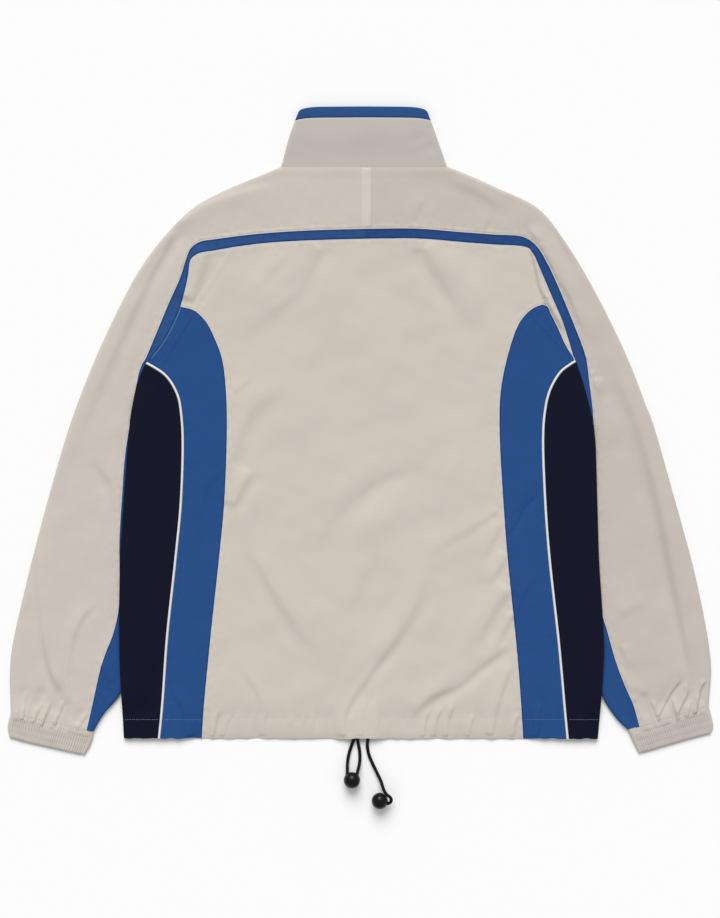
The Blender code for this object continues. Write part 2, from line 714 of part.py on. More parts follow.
def shell(name, outer, inner, closed, finish):
    """A wall between two stacks of sections, as a tube or, left open, as a tube with a slit."""
    rows, columns = len(outer), len(outer[0])
    vertices = [tuple(point) for stack in (outer, inner) for row in stack for point in row]
    offset = rows * columns
    faces = []
    wraps = columns if closed else columns - 1
    for r in range(rows - 1):
        for c in range(wraps):
            a, b = r * columns + c, r * columns + (c + 1) % columns
            faces.append([a, b, b + columns, a + columns])
            faces.append([offset + a, offset + a + columns, offset + b + columns, offset + b])
    for r in (0, rows - 1):
        for c in range(wraps):
            a, b = r * columns + c, r * columns + (c + 1) % columns
            faces.append([a, b, b + offset, a + offset] if r else [b, a, a + offset, b + offset])
    if not closed:
        for c in (0, columns - 1):
            for r in range(rows - 1):
                a, b = r * columns + c, (r + 1) * columns + c
                faces.append([a, b, b + offset, a + offset] if c else [b, a, a + offset, b + offset])
    return add_object(name, vertices, faces, finish)


def section(row, low, high, wall, flat_cells, end_cells, slit=None):
    """Outer and inner points of a flattened tube over a row of the plan.

    It runs over the top, round one end, back along the underside and round the other end. With a
    slit, it starts and ends at the slit, on the underside.
    """
    total = length_of(row)
    radius = (high - low) / 2
    middle = (high + low) / 2
    flat = np.linspace(radius, total - radius, flat_cells + 1)
    angles = np.linspace(0, math.pi, end_cells + 1)[1:-1]

    def points(reach):
        near, far = at_lengths(row, [radius, total - radius])
        out_near = (row[0] - near) / np.linalg.norm(row[0] - near)
        out_far = (row[-1] - far) / np.linalg.norm(row[-1] - far)
        top = np.column_stack([at_lengths(row, flat), np.full(len(flat), middle + reach)])
        under = top * (1, 1, 0) + (0, 0, middle - reach)
        far_end = [(*(far + out_far * reach * math.sin(a)), middle + reach * math.cos(a)) for a in angles]
        near_end = [(*(near + out_near * reach * math.sin(a)), middle - reach * math.cos(a)) for a in angles]
        if slit is None:
            return np.vstack([top, far_end, under[::-1], near_end])
        left = np.linspace(radius, slit[0], flat_cells // 2 + 1)
        right = np.linspace(slit[1], total - radius, flat_cells // 2 + 1)
        under_left, under_right = (
            np.column_stack([at_lengths(row, part), np.full(len(part), middle - reach)]) for part in (left, right)
        )
        return np.vstack([under_right, far_end[::-1], top[::-1], near_end[::-1], under_left])

    return points(radius), points(radius - wall)


# ---------------------------------------------------------------- the cloth


def add_yoke_sleeve(side, line):
    inner = chain(line["centre"], *line["top"], line["side_fold"][1][::-1], line["under_seam"])
    outer = chain(*line["outline"])
    rims = [chain(*line["outline"]), line["sleeve_fold"]]
    heights = back_heights(sleeve_relief, no_lift, rims)
    cloth(f"yoke_sleeve_{side}", Plan().grid(ruled(outer, inner, SLEEVE_ACROSS)), heights, "beige")


def add_stripe(side, line):
    rows = ruled(chain(*line["top"]), chain(*line["base"]), (0, 0.5, 1))
    cloth(f"stripe_{side}", Plan().grid(rows), back_heights(body_relief, body_lift, []), "blue")


def add_under_sleeve(side, line):
    rows = ruled(line["under_seam"], line["sleeve_fold"], UNDER_ACROSS)
    rims = [line["sleeve_fold"]]
    cloth(f"under_sleeve_{side}", Plan().grid(rows), back_heights(sleeve_relief, no_lift, rims), "blue")


def back_edge(line):
    """Edge of the back from the hem up its side seam and on along the stripe to the corner."""
    return chain(line["side_seam"], np.array([line["cap"][0], line["base"][1][-1]]), line["base"][1][::-1])


def add_back():
    left, right = LINES["left"], LINES["right"]
    edges = back_edge(left), back_edge(right)
    top = chain(left["base"][0][::-1], right["base"][0])
    hem = straight(edges[0][0], edges[1][0], len(top) - 1)
    rows = coons(*edges, hem, top)
    fine = [row_with_middles(row) for row in rows[: HEM_DETAIL_ROWS + 1]]
    plan = Plan().grid(fine).step(fine[-1], rows[HEM_DETAIL_ROWS + 1]).grid(rows[HEM_DETAIL_ROWS + 1 :])
    for line in (left, right):
        if line["cap"] is not line["base"][2]:
            plan.grid(ruled(line["cap"], line["base"][2], (0, 1)))
    cloth("back_panel", plan, back_heights(body_relief, body_lift, []), "beige")


def row_with_middles(row):
    fine = np.repeat(row, 2, axis=0)[:-1]
    fine[1::2] = (row[:-1] + row[1:]) / 2
    return fine


def add_side_back(side, line):
    cap = line["cap"][::-1]
    hem = straight(line["piping_blue"][0], line["side_seam"][0], len(cap) - 1)
    rows = coons(line["piping_blue"], line["side_seam"], hem, cap)
    cloth(f"side_back_{side}", Plan().grid(rows), back_heights(body_relief, body_lift, []), "blue")


def add_piping(side, line):
    """A corded edge that stands up from the seam between blue and navy."""
    rows = ruled(line["piping_blue"], line["piping_navy"], (0, 0.5, 1))
    base, underside = back_heights(body_relief, body_lift, [])
    middle = rows[:, 1]

    def top(x, y):
        inside = np.clip(1 - distance_to(x, y, [middle]) / (PIPING_WIDTH / 2), 0, 1)
        return base(x, y) + PIPING_RISE * (0.35 + 0.65 * inside)

    cloth(f"piping_{side}", Plan().grid(rows), (top, underside), "piping")


def add_side_panel(side, line):
    outer = chain(*line["side_fold"])
    cap = line["base"][4][::-1]
    hem = straight(outer[0], line["piping_navy"][0], SIDE_PANEL_CELLS)
    rows = coons(outer, line["piping_navy"], hem, cap)
    heights = back_heights(body_relief, body_lift, [line["side_fold"][0]])
    cloth(f"side_panel_{side}", Plan().grid(rows), heights, "navy")


def add_front(side, line):
    outer = chain(*line["side_fold"], line["raglan"])
    zip_edge = ZIP_X + line["sign"] * ZIP_WIDTH / 2
    inner = straight((zip_edge, 0), (zip_edge, outer[-1][1]), len(outer) - 1)
    heights = front_heights(lambda x, y: body_lift(x, y) + zip_lift(x, y), [line["side_fold"][0]])
    cloth(f"front_{side}", Plan().grid(ruled(outer, inner, FRONT_ACROSS)), heights, "beige")


def add_sleeve_front(side, line):
    inner = chain(line["raglan"][::-1], line["side_fold"][1][::-1], line["sleeve_fold"])
    upper = spread(chain(*line["outline"][:2]), CELLS["raglan"])
    lower = spread(line["outline"][2], CELLS["under"] + CELLS["side_fold"][1])
    rims = [chain(*line["outline"]), line["sleeve_fold"]]
    rows = ruled(chain(upper, lower), inner, SLEEVE_FRONT_ACROSS)
    cloth(f"sleeve_front_{side}", Plan().grid(rows), front_heights(no_lift, rims), "beige")


def add_back_strip():
    """A flat strip that lies on the yoke's centre-back seam, from the neck to the stripe."""
    base, _ = back_heights(sleeve_relief, no_lift, [])
    rows = ruled(straight((STRIP_X[0], STRIP_Y[0]), (STRIP_X[0], STRIP_Y[1]), 4),
                 straight((STRIP_X[1], STRIP_Y[0]), (STRIP_X[1], STRIP_Y[1]), 4), (0, 0.5, 1))
    heights = (lambda x, y: base(x, y) + SEAM_GAP + STRIP_WALL, lambda x, y: base(x, y) + SEAM_GAP)
    cloth("back_strip", Plan().grid(rows), heights, "beige")


def add_collar(name, sections, finish, first_height):
    """A flattened ring of cloth, open at the front for the zip, over these sections."""
    outer, inner = [], []
    for n, row in enumerate(sections):
        u = np.linspace(-1, 1, 25)
        x = row.left + (row.right - row.left) * (u + 1) / 2
        plan = np.column_stack([x, row.y + row.crown * (1 - np.abs(u) ** 8)])
        high = first_height if n == 0 else COLLAR_HEIGHT
        start = (ZIP_X - ZIP_WIDTH / 2 - SEAM_GAP) - row.left
        slit = (start, start + ZIP_WIDTH + 2 * SEAM_GAP)
        rings = section(plan, 0, high, COLLAR_WALL, 16, 5, slit)
        for stack, ring in zip((outer, inner), rings):
            under = ring[:, 2] < high / 2
            push = np.where(under, 1.0, 0.3) * zip_lift(ring[:, 0], ring[:, 1])
            stack.append(ring + np.column_stack([np.zeros((len(ring), 2)), push]))
    return shell(name, outer, inner, False, finish)


def add_cuff(side, line):
    """A flattened tube, gathered into ribs by three rows of elastic."""
    table = SIDES[side]
    outer_side, inner_side = (
        stretches(table[name], [12])[0] for name in ("cuff_outer", "cuff_inner")
    )
    seam = straight(outer_side[0], inner_side[0], 24)
    end = stretches(table["cuff_end"], [24])[0]
    rows = coons(outer_side, inner_side, seam, end)
    down = (end[12] - seam[12]) / np.linalg.norm(end[12] - seam[12])
    outer, inner = [], []
    for share in CUFF_ROWS:
        position = share * (len(rows) - 1)
        low = int(min(position, len(rows) - 2))
        row = rows[low] + (position - low) * (rows[low + 1] - rows[low])
        row = row + down * SEAM_GAP * (1 - share)
        puff = abs(math.sin(math.pi * CUFF_PUFFS * share))
        rings = section(row, 0, CUFF_HEIGHT, CUFF_WALL, 2 * CUFF_RIBS, CUFF_END_CELLS)
        outside = rings[0].copy()
        ribs = np.arange(2 * CUFF_RIBS + 1)
        wave = CUFF_RIB_HEIGHT * np.where(ribs % 2, 0.5, -0.5) * (0.4 + 0.6 * puff)
        outside[: len(ribs), 2] += wave + CUFF_PUFF_HEIGHT * (puff - 0.5)
        outer.append(outside)
        inner.append(rings[1])
    return shell(f"cuff_{side}", outer, inner, True, "beige")


# ---------------------------------------------------------------- zip and drawcord


def add_zip():
    rows = ruled(straight((ZIP_X - ZIP_WIDTH / 2, ZIP_Y[0]), (ZIP_X - ZIP_WIDTH / 2, ZIP_Y[1]), 26),
                 straight((ZIP_X + ZIP_WIDTH / 2, ZIP_Y[0]), (ZIP_X + ZIP_WIDTH / 2, ZIP_Y[1]), 26), (0, 0.5, 1))
    cloth("zip", Plan().grid(rows), (lambda x, y: zip_lift(x, y) + ZIP_WALL, zip_lift), "zip")


def box_corners(x, y, z):
    return [(a, b, c) for c in z for b in y for a in x]


BOX_FACES = [[0, 2, 3, 1], [4, 5, 7, 6], [0, 1, 5, 4], [2, 6, 7, 3], [0, 4, 6, 2], [1, 3, 7, 5]]


def add_block(name, x, y, z, finish, bevel=0.0):
    made = add_object(name, box_corners(x, y, z), BOX_FACES, finish)
    if bevel:
        rounding = made.modifiers.new("rounding", "BEVEL")
        rounding.width = bevel / 1000
        rounding.segments = 2
    return made


def combine(target, other, operation):
    """Joins or cuts with a helper, which stays hidden."""
    other.hide_render = True
    other.display_type = "WIRE"
    change = target.modifiers.new(operation.lower(), "BOOLEAN")
    change.operation = operation
    change.object = other
    change.solver = "EXACT"


def add_slider():
    """Two plates round the end of the zip, joined by a neck, and a bridge that holds the pull."""
    y = SLIDER_Y
    x = (ZIP_X - SLIDER_HALF_WIDTH, ZIP_X + SLIDER_HALF_WIDTH)
    ends = (y + SLIDER_BACK, y + SLIDER_FRONT)
    slider = add_block("zip_slider", x, ends, PLATE_LOW, "metal")
    upper = add_block("slider_upper", x, ends, PLATE_HIGH, "metal")
    neck = add_block(
        "slider_neck",
        (ZIP_X - NECK_HALF_WIDTH, ZIP_X + NECK_HALF_WIDTH),
        (ends[1] - NECK_LENGTH, ends[1] - 0.2),
        (PLATE_LOW[0] + 0.3, PLATE_HIGH[1] - 0.3),
        "metal",
    )
    bridge = add_block(
        "slider_bridge",
        (ZIP_X - BRIDGE_HALF_WIDTH, ZIP_X + BRIDGE_HALF_WIDTH),
        (y - BRIDGE_REACH, y + BRIDGE_REACH),
        (BRIDGE_CROWN[0], PLATE_LOW[0] + 0.4),
        "metal",
        bevel=0.3,
    )
    tunnel = add_block(
        "slider_tunnel",
        (ZIP_X - 3, ZIP_X + 3),
        (y - BRIDGE_REACH + BRIDGE_LEG, y + BRIDGE_REACH - BRIDGE_LEG),
        (BRIDGE_CROWN[1], PLATE_LOW[0]),
        "metal",
    )
    combine(bridge, tunnel, "DIFFERENCE")
    for other in (neck, upper, bridge):
        combine(slider, other, "UNION")


def add_pull():
    """The pull tab: a tapering blade with an eye, whose cross bar turns under the bridge."""
    z = (-PULL_THICK / 2, PULL_THICK / 2)
    outline = [
        (-PULL_HALF_WIDTH, 0.5), (PULL_HALF_WIDTH, 0.5), (PULL_HALF_WIDTH, -8),
        (PULL_TIP_HALF_WIDTH, -14), (PULL_TIP_HALF_WIDTH, PULL_END + 1.5), (1.2, PULL_END),
        (-1.2, PULL_END), (-PULL_TIP_HALF_WIDTH, PULL_END + 1.5), (-PULL_TIP_HALF_WIDTH, -14),
        (-PULL_HALF_WIDTH, -8),
    ]
    count = len(outline)
    corners = [(ZIP_X + x, SLIDER_Y + y, PULL_AXIS_Z + level) for level in z for x, y in outline]
    faces = [list(range(count)), list(range(2 * count - 1, count - 1, -1))]
    faces += [[i, (i + 1) % count, (i + 1) % count + count, i + count] for i in range(count)]
    pull = add_object("zip_pull", corners, faces, "metal")
    axis = Vector(to_world(ZIP_X, SLIDER_Y, PULL_AXIS_Z))
    pull.data.transform(Matrix.Translation(-axis))
    pull.location = axis
    eye = add_block(
        "pull_eye",
        (ZIP_X - PULL_EYE_HALF_WIDTH, ZIP_X + PULL_EYE_HALF_WIDTH),
        (SLIDER_Y + PULL_EYE[0], SLIDER_Y + PULL_EYE[1]),
        (PULL_AXIS_Z - 2, PULL_AXIS_Z + 2),
        "metal",
    )
    combine(pull, eye, "DIFFERENCE")


def cord_points(name):
    curve, _ = smooth_line(CORDS[name])
    cells = max(4, round(length_of(curve) / CORD_STEP))
    return spread(curve, cells)


def add_tube(name, points, radius, finish):
    curve = bpy.data.curves.new(name, "CURVE")
    curve.dimensions = "3D"
    curve.bevel_depth = radius / 1000
    curve.bevel_resolution = 2
    curve.use_fill_caps = True
    spline = curve.splines.new("POLY")
    spline.points.add(len(points) - 1)
    for target, point in zip(spline.points, points):
        target.co = (*to_world(*point), 1)
    curve.materials.append(material(finish))
    made = bpy.data.objects.new(name, curve)
    bpy.context.scene.collection.objects.link(made)
    return made


def add_cord(side):
    """A drawcord and the ball on its end, bored along the cord's own path."""
    points = cord_points(side)
    add_tube(f"cord_{side}", points, CORD / 2, "cord")
    centre = np.array(BALLS[side])
    near = np.linalg.norm(points - centre, axis=1) < BALL / 2 + CORD_STEP
    first, last = np.flatnonzero(near)[[0, -1]]
    bore_points = points[first : last + 1]
    if last == len(points) - 1:
        ahead = points[last] - points[last - 1]
        bore_points = np.vstack([bore_points, points[last] + ahead / np.linalg.norm(ahead) * CORD_PLAY])
    guide = add_tube(f"bore_path_{side}", bore_points, CORD / 2 + CORD_PLAY, "ball")
    graph = bpy.context.evaluated_depsgraph_get()
    bore = bpy.data.objects.new(f"bore_{side}", bpy.data.meshes.new_from_object(guide.evaluated_get(graph)))
    bpy.context.scene.collection.objects.link(bore)
    bpy.data.objects.remove(guide)
    shape = bmesh.new()
    bmesh.ops.create_uvsphere(shape, u_segments=20, v_segments=12, radius=BALL / 2000)
    mesh = bpy.data.meshes.new(f"ball_{side}")
    shape.to_mesh(mesh)
    shape.free()
    mesh.shade_smooth()
    mesh.materials.append(material("ball"))
    ball = bpy.data.objects.new(f"ball_{side}", mesh)
    ball.location = Vector(to_world(*centre))
    bpy.context.scene.collection.objects.link(ball)
    shape = bmesh.new()
    shape.from_mesh(bore.data)
    bmesh.ops.remove_doubles(shape, verts=shape.verts, dist=1e-6)
    bmesh.ops.recalc_face_normals(shape, faces=shape.faces)
    shape.to_mesh(bore.data)
    shape.free()
    combine(ball, bore, "DIFFERENCE")


def main():
    for old in list(bpy.data.objects):
        bpy.data.objects.remove(old)
    add_back()
    for side, line in LINES.items():
        add_yoke_sleeve(side, line)
        add_stripe(side, line)
        add_under_sleeve(side, line)
        add_side_back(side, line)
        add_piping(side, line)
        add_side_panel(side, line)
        add_front(side, line)
        add_sleeve_front(side, line)
        add_cuff(side, line)
        add_cord(side)
    add_back_strip()
    add_collar("collar", COLLAR, "beige", FLAT_HEIGHT)
    add_collar("collar_band", COLLAR_BAND, "blue", COLLAR_HEIGHT)
    add_zip()
    add_slider()
    add_pull()


main()
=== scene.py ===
"""How a track jacket laid flat looks: its cloth, seams, stitching, zip and drawcord, the light and
the camera.

Lengths in the tables are millimetres on a plan of the jacket. x runs to the right from its middle,
y runs up the back from the hem, and z runs up from the surface that it lies on. Each piece is a
thin sheet on the form of its solid, with finer folds, puckers and turned seams.
"""

import math
from collections import namedtuple

import bmesh
import bpy
import numpy as np
from mathutils import Matrix, Vector


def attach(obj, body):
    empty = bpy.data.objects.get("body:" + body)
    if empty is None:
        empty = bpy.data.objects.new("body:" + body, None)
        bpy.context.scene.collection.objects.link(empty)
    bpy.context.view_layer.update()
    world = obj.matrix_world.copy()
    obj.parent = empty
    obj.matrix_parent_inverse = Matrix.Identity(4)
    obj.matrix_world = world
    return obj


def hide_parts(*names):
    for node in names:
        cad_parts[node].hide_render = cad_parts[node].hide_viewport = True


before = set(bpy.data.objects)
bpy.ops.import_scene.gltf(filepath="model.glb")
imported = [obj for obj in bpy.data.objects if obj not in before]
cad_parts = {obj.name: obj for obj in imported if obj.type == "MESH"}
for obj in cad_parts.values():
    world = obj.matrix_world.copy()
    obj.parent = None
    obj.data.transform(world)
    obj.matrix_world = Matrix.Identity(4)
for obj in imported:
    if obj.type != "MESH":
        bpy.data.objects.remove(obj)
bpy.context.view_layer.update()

# ---------------------------------------------------------------- sizes

SHEET = 0.7  # thickness of the cloth as it looks
BODY_STEP = 2.8  # spacing of the points of a sheet
BODY_COLUMN = 2.0
BODY_ROW = 3.0
SLEEVE_STEP = 2.8
SLEEVE_COLUMN = 2.0
HEM_FINE = 42.0  # above the hem and the cuffs, the rows are closer over this distance
FRONT_STEP = 5.5
SEAM_ROWS = (0.45, 1.1, 2.0)  # distances of the first points from a seam
SEAM_TUCK = 0.04
SEAM_DROP = 0.5  # how deep the cloth turns down into a seam
SEAM_ROUND = 1.3  # how far from the seam it starts to
FLUSH_DROP = 0.12  # the same at the collar, the cuffs and the yoke's own seam
FLUSH_ROUND = 0.8
SEAM_LIP = 0.3  # the ridge that the allowance underneath makes beside the seam
SEAM_LIP_AT = 3.2
SEAM_LIP_WIDTH = 1.6
SCALLOP = 1.2  # how far the hem's edge is drawn up
SCALLOP_LENGTH = 16
SCALLOP_SEED = 71
SCALLOP_RUN = 14
HEM_FALL = 2.6  # how far the cloth rounds down to its edge, and over what distance
HEM_RUN = 10.0
HEM_STEP = 1.3  # how much lower the hem lies than the cloth above it
HEM_STEP_RUN = 13.0
HEM_FALL_X = (195.0, 225.0)  # it dies away towards the folded sides
HEM_OPEN = 1.9  # how far the ends of the drawcord hold the hem up
HEM_OPEN_X = (-36.0, -13.0, 14.0, 38.0)
HEM_OPEN_Y = (8.0, 75.0)
HEM_GATHER_SHARE = 0.6  # how much of the solid's gathers the looks keep
HEM_DENT = 0.12  # the groove along the hem's stitches
HEM_DENT_WIDTH = 1.4
HEM_ROLL = 0.4  # how far the open hem rounds down at its edge
HEM_ROLL_WIDTH = 2.5

SEAM_GAP = 0.3
FLAT_HEIGHT = 5.5  # two walls and the air between them
COLLAR_HEIGHT = 7.6
RIM = 5.0  # how far in from a fold the cloth curls
RIM_EDGE = 1.0  # cloth showing at a folded edge, for each wall
MIDDLE_X = 0.06
MIDDLE_Y = 376.53  # half way from the cuffs' lowest point to the top of the collar

TUCK_LIFT = 5.9  # how far the body rises over the sleeve tucked under it
TUCK_RUN = 45.0  # how far inwards that rise fades out
HEM_FADE = (8.0, 52.0)  # heights between which the rise dies away to the hem

HEM_STITCH = 24.0  # height of the drawcord channel

PIPING_WIDTH = 3.0
PIPING_FOOT = 0.75  # how far its edges sink into the seam
PIPING_CREST = 1.8  # from its edges up to its top
STRIP_X = (1.0, 13.0)
STRIP_Y = (626.0, 697.5)
CENTRE_BACK_X = 7.0

ZIP_X = 5.0
ZIP_WIDTH = 8.0
ZIP_Y = (3.0, 761.5)
ZIP_RISE = 3.8  # how far slider and pull push the front up from the surface
ZIP_RISE_WIDTH = 28.0
ZIP_RISE_Y = (690.0, 740.0)

CORD = 4.0  # diameter
BALL = 20.0  # diameter
CORD_PLAY = 0.3

# ---------------------------------------------------------------- tables

# Every line is a list of stretches, and every stretch a list of (x, y) points on it. A stretch
# starts where the one before it ends, and the line runs smoothly through them all.
SIDES = {
    "left": {
        "sign": -1,
        # From the neck along shoulder and overarm to the cuff.
        "outline": [
            [(-97, 699), (-123, 688), (-150, 677)],
            [(-166, 670), (-201, 651), (-236, 618), (-271, 571), (-311, 493), (-326, 459)],
            [(-353, 389), (-382, 291), (-411, 178), (-426, 108), (-428, 81), (-427, 32)],
        ],
        # Upper edge of the stripe: centre back, corner, side panel, piping, its end.
        "stripe_top": [
            [(7, 623), (-58, 621), (-123, 617), (-179, 610), (-196, 607), (-207, 599)],
            [(-212, 588), (-220, 563), (-234, 532)],
            [(-251, 491), (-263, 463)],
            [(-266, 458.5)],
            [(-270.5, 447), (-273, 434)],
        ],
        # Lower edge of the stripe, with the same stations.
        "stripe_base": [
            [(7, 611), (-58, 609), (-123, 605), (-181, 596), (-199, 592), (-207, 585)],
            [(-210, 568), (-212, 557), (-220, 528)],
            [(-236, 493), (-246, 478), (-260, 461)],
            [(-263, 457.5)],
            [(-268, 446), (-273, 434)],
        ],
        # Back to side back, from the hem to the top of the blue.
        "side_seam": [
            [(-194, 0), (-192, 31), (-183, 125), (-173, 218), (-166, 293), (-163, 373),
             (-164, 422), (-169, 464), (-179, 491), (-189, 510), (-203, 523), (-220, 528)],
        ],
        # Middle of the piping, from the hem to the armhole.
        "piping": [
            [(-246, 0), (-242, 42), (-236, 125), (-226, 218), (-219, 293), (-217, 368),
             (-219, 398), (-222, 416), (-229, 432), (-239, 445), (-252, 454), (-261.5, 459.2)],
        ],
        # Outer fold of the body, from the hem to the end of the stripe.
        "side_fold": [
            [(-289, 0), (-291, 42), (-294, 109), (-293, 218), (-288, 302), (-281, 388)],
            [(-277.5, 411), (-273, 434)],
        ],
        # Beige to blue under the sleeve, from the armpit to the cuff.
        "under_seam": [
            [(-281, 388), (-287.5, 344), (-290.5, 302), (-294, 243), (-295, 160), (-302, 128),
             (-311, 105), (-318, 83), (-326, 47)],
        ],
        # Inner fold of the sleeve, mostly under the body.
        "sleeve_fold": [
            [(-281, 388), (-273, 328), (-266, 267), (-267, 182), (-275, 108), (-294, 54),
             (-313, 31), (-320, 20), (-326, 9)],
        ],
        "raglan": [[(-273, 434), (-258, 462), (-228, 505), (-188, 565), (-138, 640), (-82, 699)]],
        "cuff_outer": [[(-427, 32), (-431, 15), (-429, 2)]],
        "cuff_end": [[(-429, 2), (-408, -4), (-377, -11), (-350, -17), (-337, -19)]],
        "cuff_inner": [[(-326, 9), (-327, 2), (-331, -9), (-337, -19)]],
        "under_seam_end": 0.92,  # where that seam meets the cuff, along the cuff's own seam
        "rise": (455.0, 388.0),  # heights between which the body comes up over the sleeve
    },
    "right": {
        "sign": 1,
        "outline": [
            [(106, 699), (122, 693), (150, 681)],
            [(167, 673), (217, 648), (253, 603), (291, 538), (328, 461), (348, 409)],
            [(356, 389), (382, 299), (409, 199), (426, 111), (428, 84), (425, 41)],
        ],
        "stripe_top": [
            [(7, 623), (70, 623), (122, 619), (162, 616), (199, 613), (214, 603)],
            [(229, 579), (248, 537)],
            [(272, 477), (274.5, 469)],
            [(275.8, 464.5)],
            [(280, 431), (283, 405), (284.5, 384)],
        ],
        "stripe_base": [
            [(7, 611), (70, 611), (122, 607), (162, 604), (201, 601), (207, 598)],
            [(219, 574), (235, 537)],
            [(249, 503), (261.5, 463.5)],
            [(263.5, 459.5)],
            [(272, 434), (280, 404), (284.5, 384)],
        ],
        "side_seam": [
            [(199, 0), (197, 31), (191, 109), (180, 218), (175, 283), (170, 373), (171, 422),
             (178, 461), (191, 502), (199, 515), (211, 526), (222, 530.5)],
        ],
        "piping": [
            [(253, 0), (250, 31), (243, 109), (231, 218), (226, 283), (223, 368), (225, 398),
             (229, 419), (235, 434), (245, 449), (256, 457.5), (262.5, 461.5)],
        ],
        # Upper edge of the side back where it lies free of the stripe.
        "side_back_cap": [[(222, 530.5), (228, 528), (232, 520), (241, 502), (251, 480), (261.5, 463.5)]],
        "side_fold": [
            [(290, 0), (293, 39), (297, 108), (295, 156), (291, 218), (289, 283), (287, 352)],
            [(286, 368), (284.5, 384)],
        ],
        "under_seam": [
            [(287, 352), (287.5, 300), (289.5, 218), (293.5, 160), (302, 129), (311, 97),
             (322, 67), (333, 42)],
        ],
        "sleeve_fold": [
            [(287, 352), (278, 304), (268, 243), (268, 182), (278, 108), (297, 49), (308, 31),
             (317, 20), (327, 11)],
        ],
        "raglan": [[(284.5, 384), (276, 430), (258, 470), (228, 515), (188, 570), (142, 640),
                    (92, 699)]],
        "cuff_outer": [[(425, 41), (429, 27), (431, 14), (428, 7)]],
        "cuff_end": [[(428, 7), (409, 2), (374, -8), (350, -15), (340, -17)]],
        "cuff_inner": [[(327, 11), (329, 6), (334, -5), (340, -17)]],
        "under_seam_end": 0.86,
        "rise": (440.0, 352.0),
    },
}

# Collar sections from the neck seam up: height, left and right ends, how far the middle crowns.
CollarSection = namedtuple("CollarSection", "y left right crown")
COLLAR = [
    CollarSection(699.15, -97, 106, 0),
    CollarSection(705, -95, 103.5, 0),
    CollarSection(713, -93, 101, 0.5),
    CollarSection(725, -90, 96.5, 1.5),
    CollarSection(740, -85.5, 91.5, 2.5),
    CollarSection(755, -80, 86, 3.5),
]
COLLAR_BAND = [
    CollarSection(755.3, -79.9, 85.9, 3.5),
    CollarSection(761, -77.7, 83.8, 3.8),
    CollarSection(766.5, -75.6, 81.8, 4),
    CollarSection(768, -74, 80, 4),
]

# Main folds of the cloth: start, bend and end of the line, its half width, and its height, which
# is below zero for a trough.
Fold = namedtuple("Fold", "x0 y0 x1 y1 x2 y2 width height")
BODY_FOLDS = [
    Fold(66, 600, 80, 570, 140, 500, 12, -1.7),
    Fold(100, 600, 118, 570, 165, 520, 16, 1.2),
    Fold(-38, 604, -60, 575, -90, 535, 11, -1.4),
    Fold(-90, 590, -110, 560, -130, 520, 16, 1.0),
    Fold(50, 335, 5, 305, -40, 268, 15, -1.5),
    Fold(80, 310, 30, 275, -10, 235, 20, 1.2),
    Fold(218, 302, 198, 280, 180, 248, 8, -1.6),
    Fold(60, 122, -8, 60, -16, 0, 10, -1.5),
    Fold(16, 60, 4, 38, 6, 4, 7, -1.4),
    Fold(186, 110, 110, 60, 66, 4, 10, -1.7),
    Fold(218, 60, 220, 30, 219, 2, 6, -1.4),
    Fold(-150, 420, -140, 300, -152, 180, 20, 1.0),
    Fold(140, 430, 128, 300, 150, 200, 22, 0.9),
]
SLEEVE_FOLDS = [
    Fold(-205, 640, -240, 590, -288, 528, 13, -1.7),
    Fold(-329, 345, -318, 320, -311, 296, 11, -1.5),
    Fold(-345, 470, -372, 380, -392, 290, 20, 1.1),
    Fold(-386, 66, -392, 48, -396, 34, 6, -1.8),
    Fold(-364, 72, -370, 45, -374, 28, 7, -2.0),
    Fold(-338, 40, -343, 26, -345, 18, 6, -1.4),
    Fold(-410, 64, -411, 50, -412, 34, 5, -1.5),
    Fold(280, 452, 292, 432, 300, 406, 10, -1.6),
    Fold(335, 345, 358, 255, 398, 90, 12, -2.0),
    Fold(360, 330, 384, 230, 408, 140, 14, 1.3),
    Fold(397, 76, 380, 55, 362, 30, 8, -2.0),
    Fold(402, 62, 400, 48, 399, 38, 5, -1.6),
    Fold(421, 72, 417, 55, 414, 42, 5, -1.3),
    Fold(345, 60, 349, 42, 352, 24, 6, -1.4),
]
# Short gathers that the drawcord makes in the hem: where along the hem, half width, height.
Gather = namedtuple("Gather", "x width height reach")
HEM_GATHERS = [
    Gather(-181, 6, 1.3, 46), Gather(-162, 5, 1.1, 38), Gather(-141, 7, 0.9, 50),
    Gather(-126, 5, -1.1, 40), Gather(-112, 6, 1.2, 34), Gather(-88, 8, 0.8, 44),
    Gather(-62, 6, 1.0, 36), Gather(-38, 6, -1.0, 42), Gather(-27, 5, 1.1, 34),
    Gather(20, 6, 1.0, 40), Gather(42, 7, 0.9, 48), Gather(63, 5, 1.2, 34),
    Gather(81, 5, 1.1, 44), Gather(95, 5, -1.1, 38), Gather(108, 5, 1.3, 50),
    Gather(135, 6, 1.1, 46), Gather(161, 5, 1.3, 40), Gather(170, 4, -1.0, 34),
    Gather(188, 5, 1.1, 48),
]

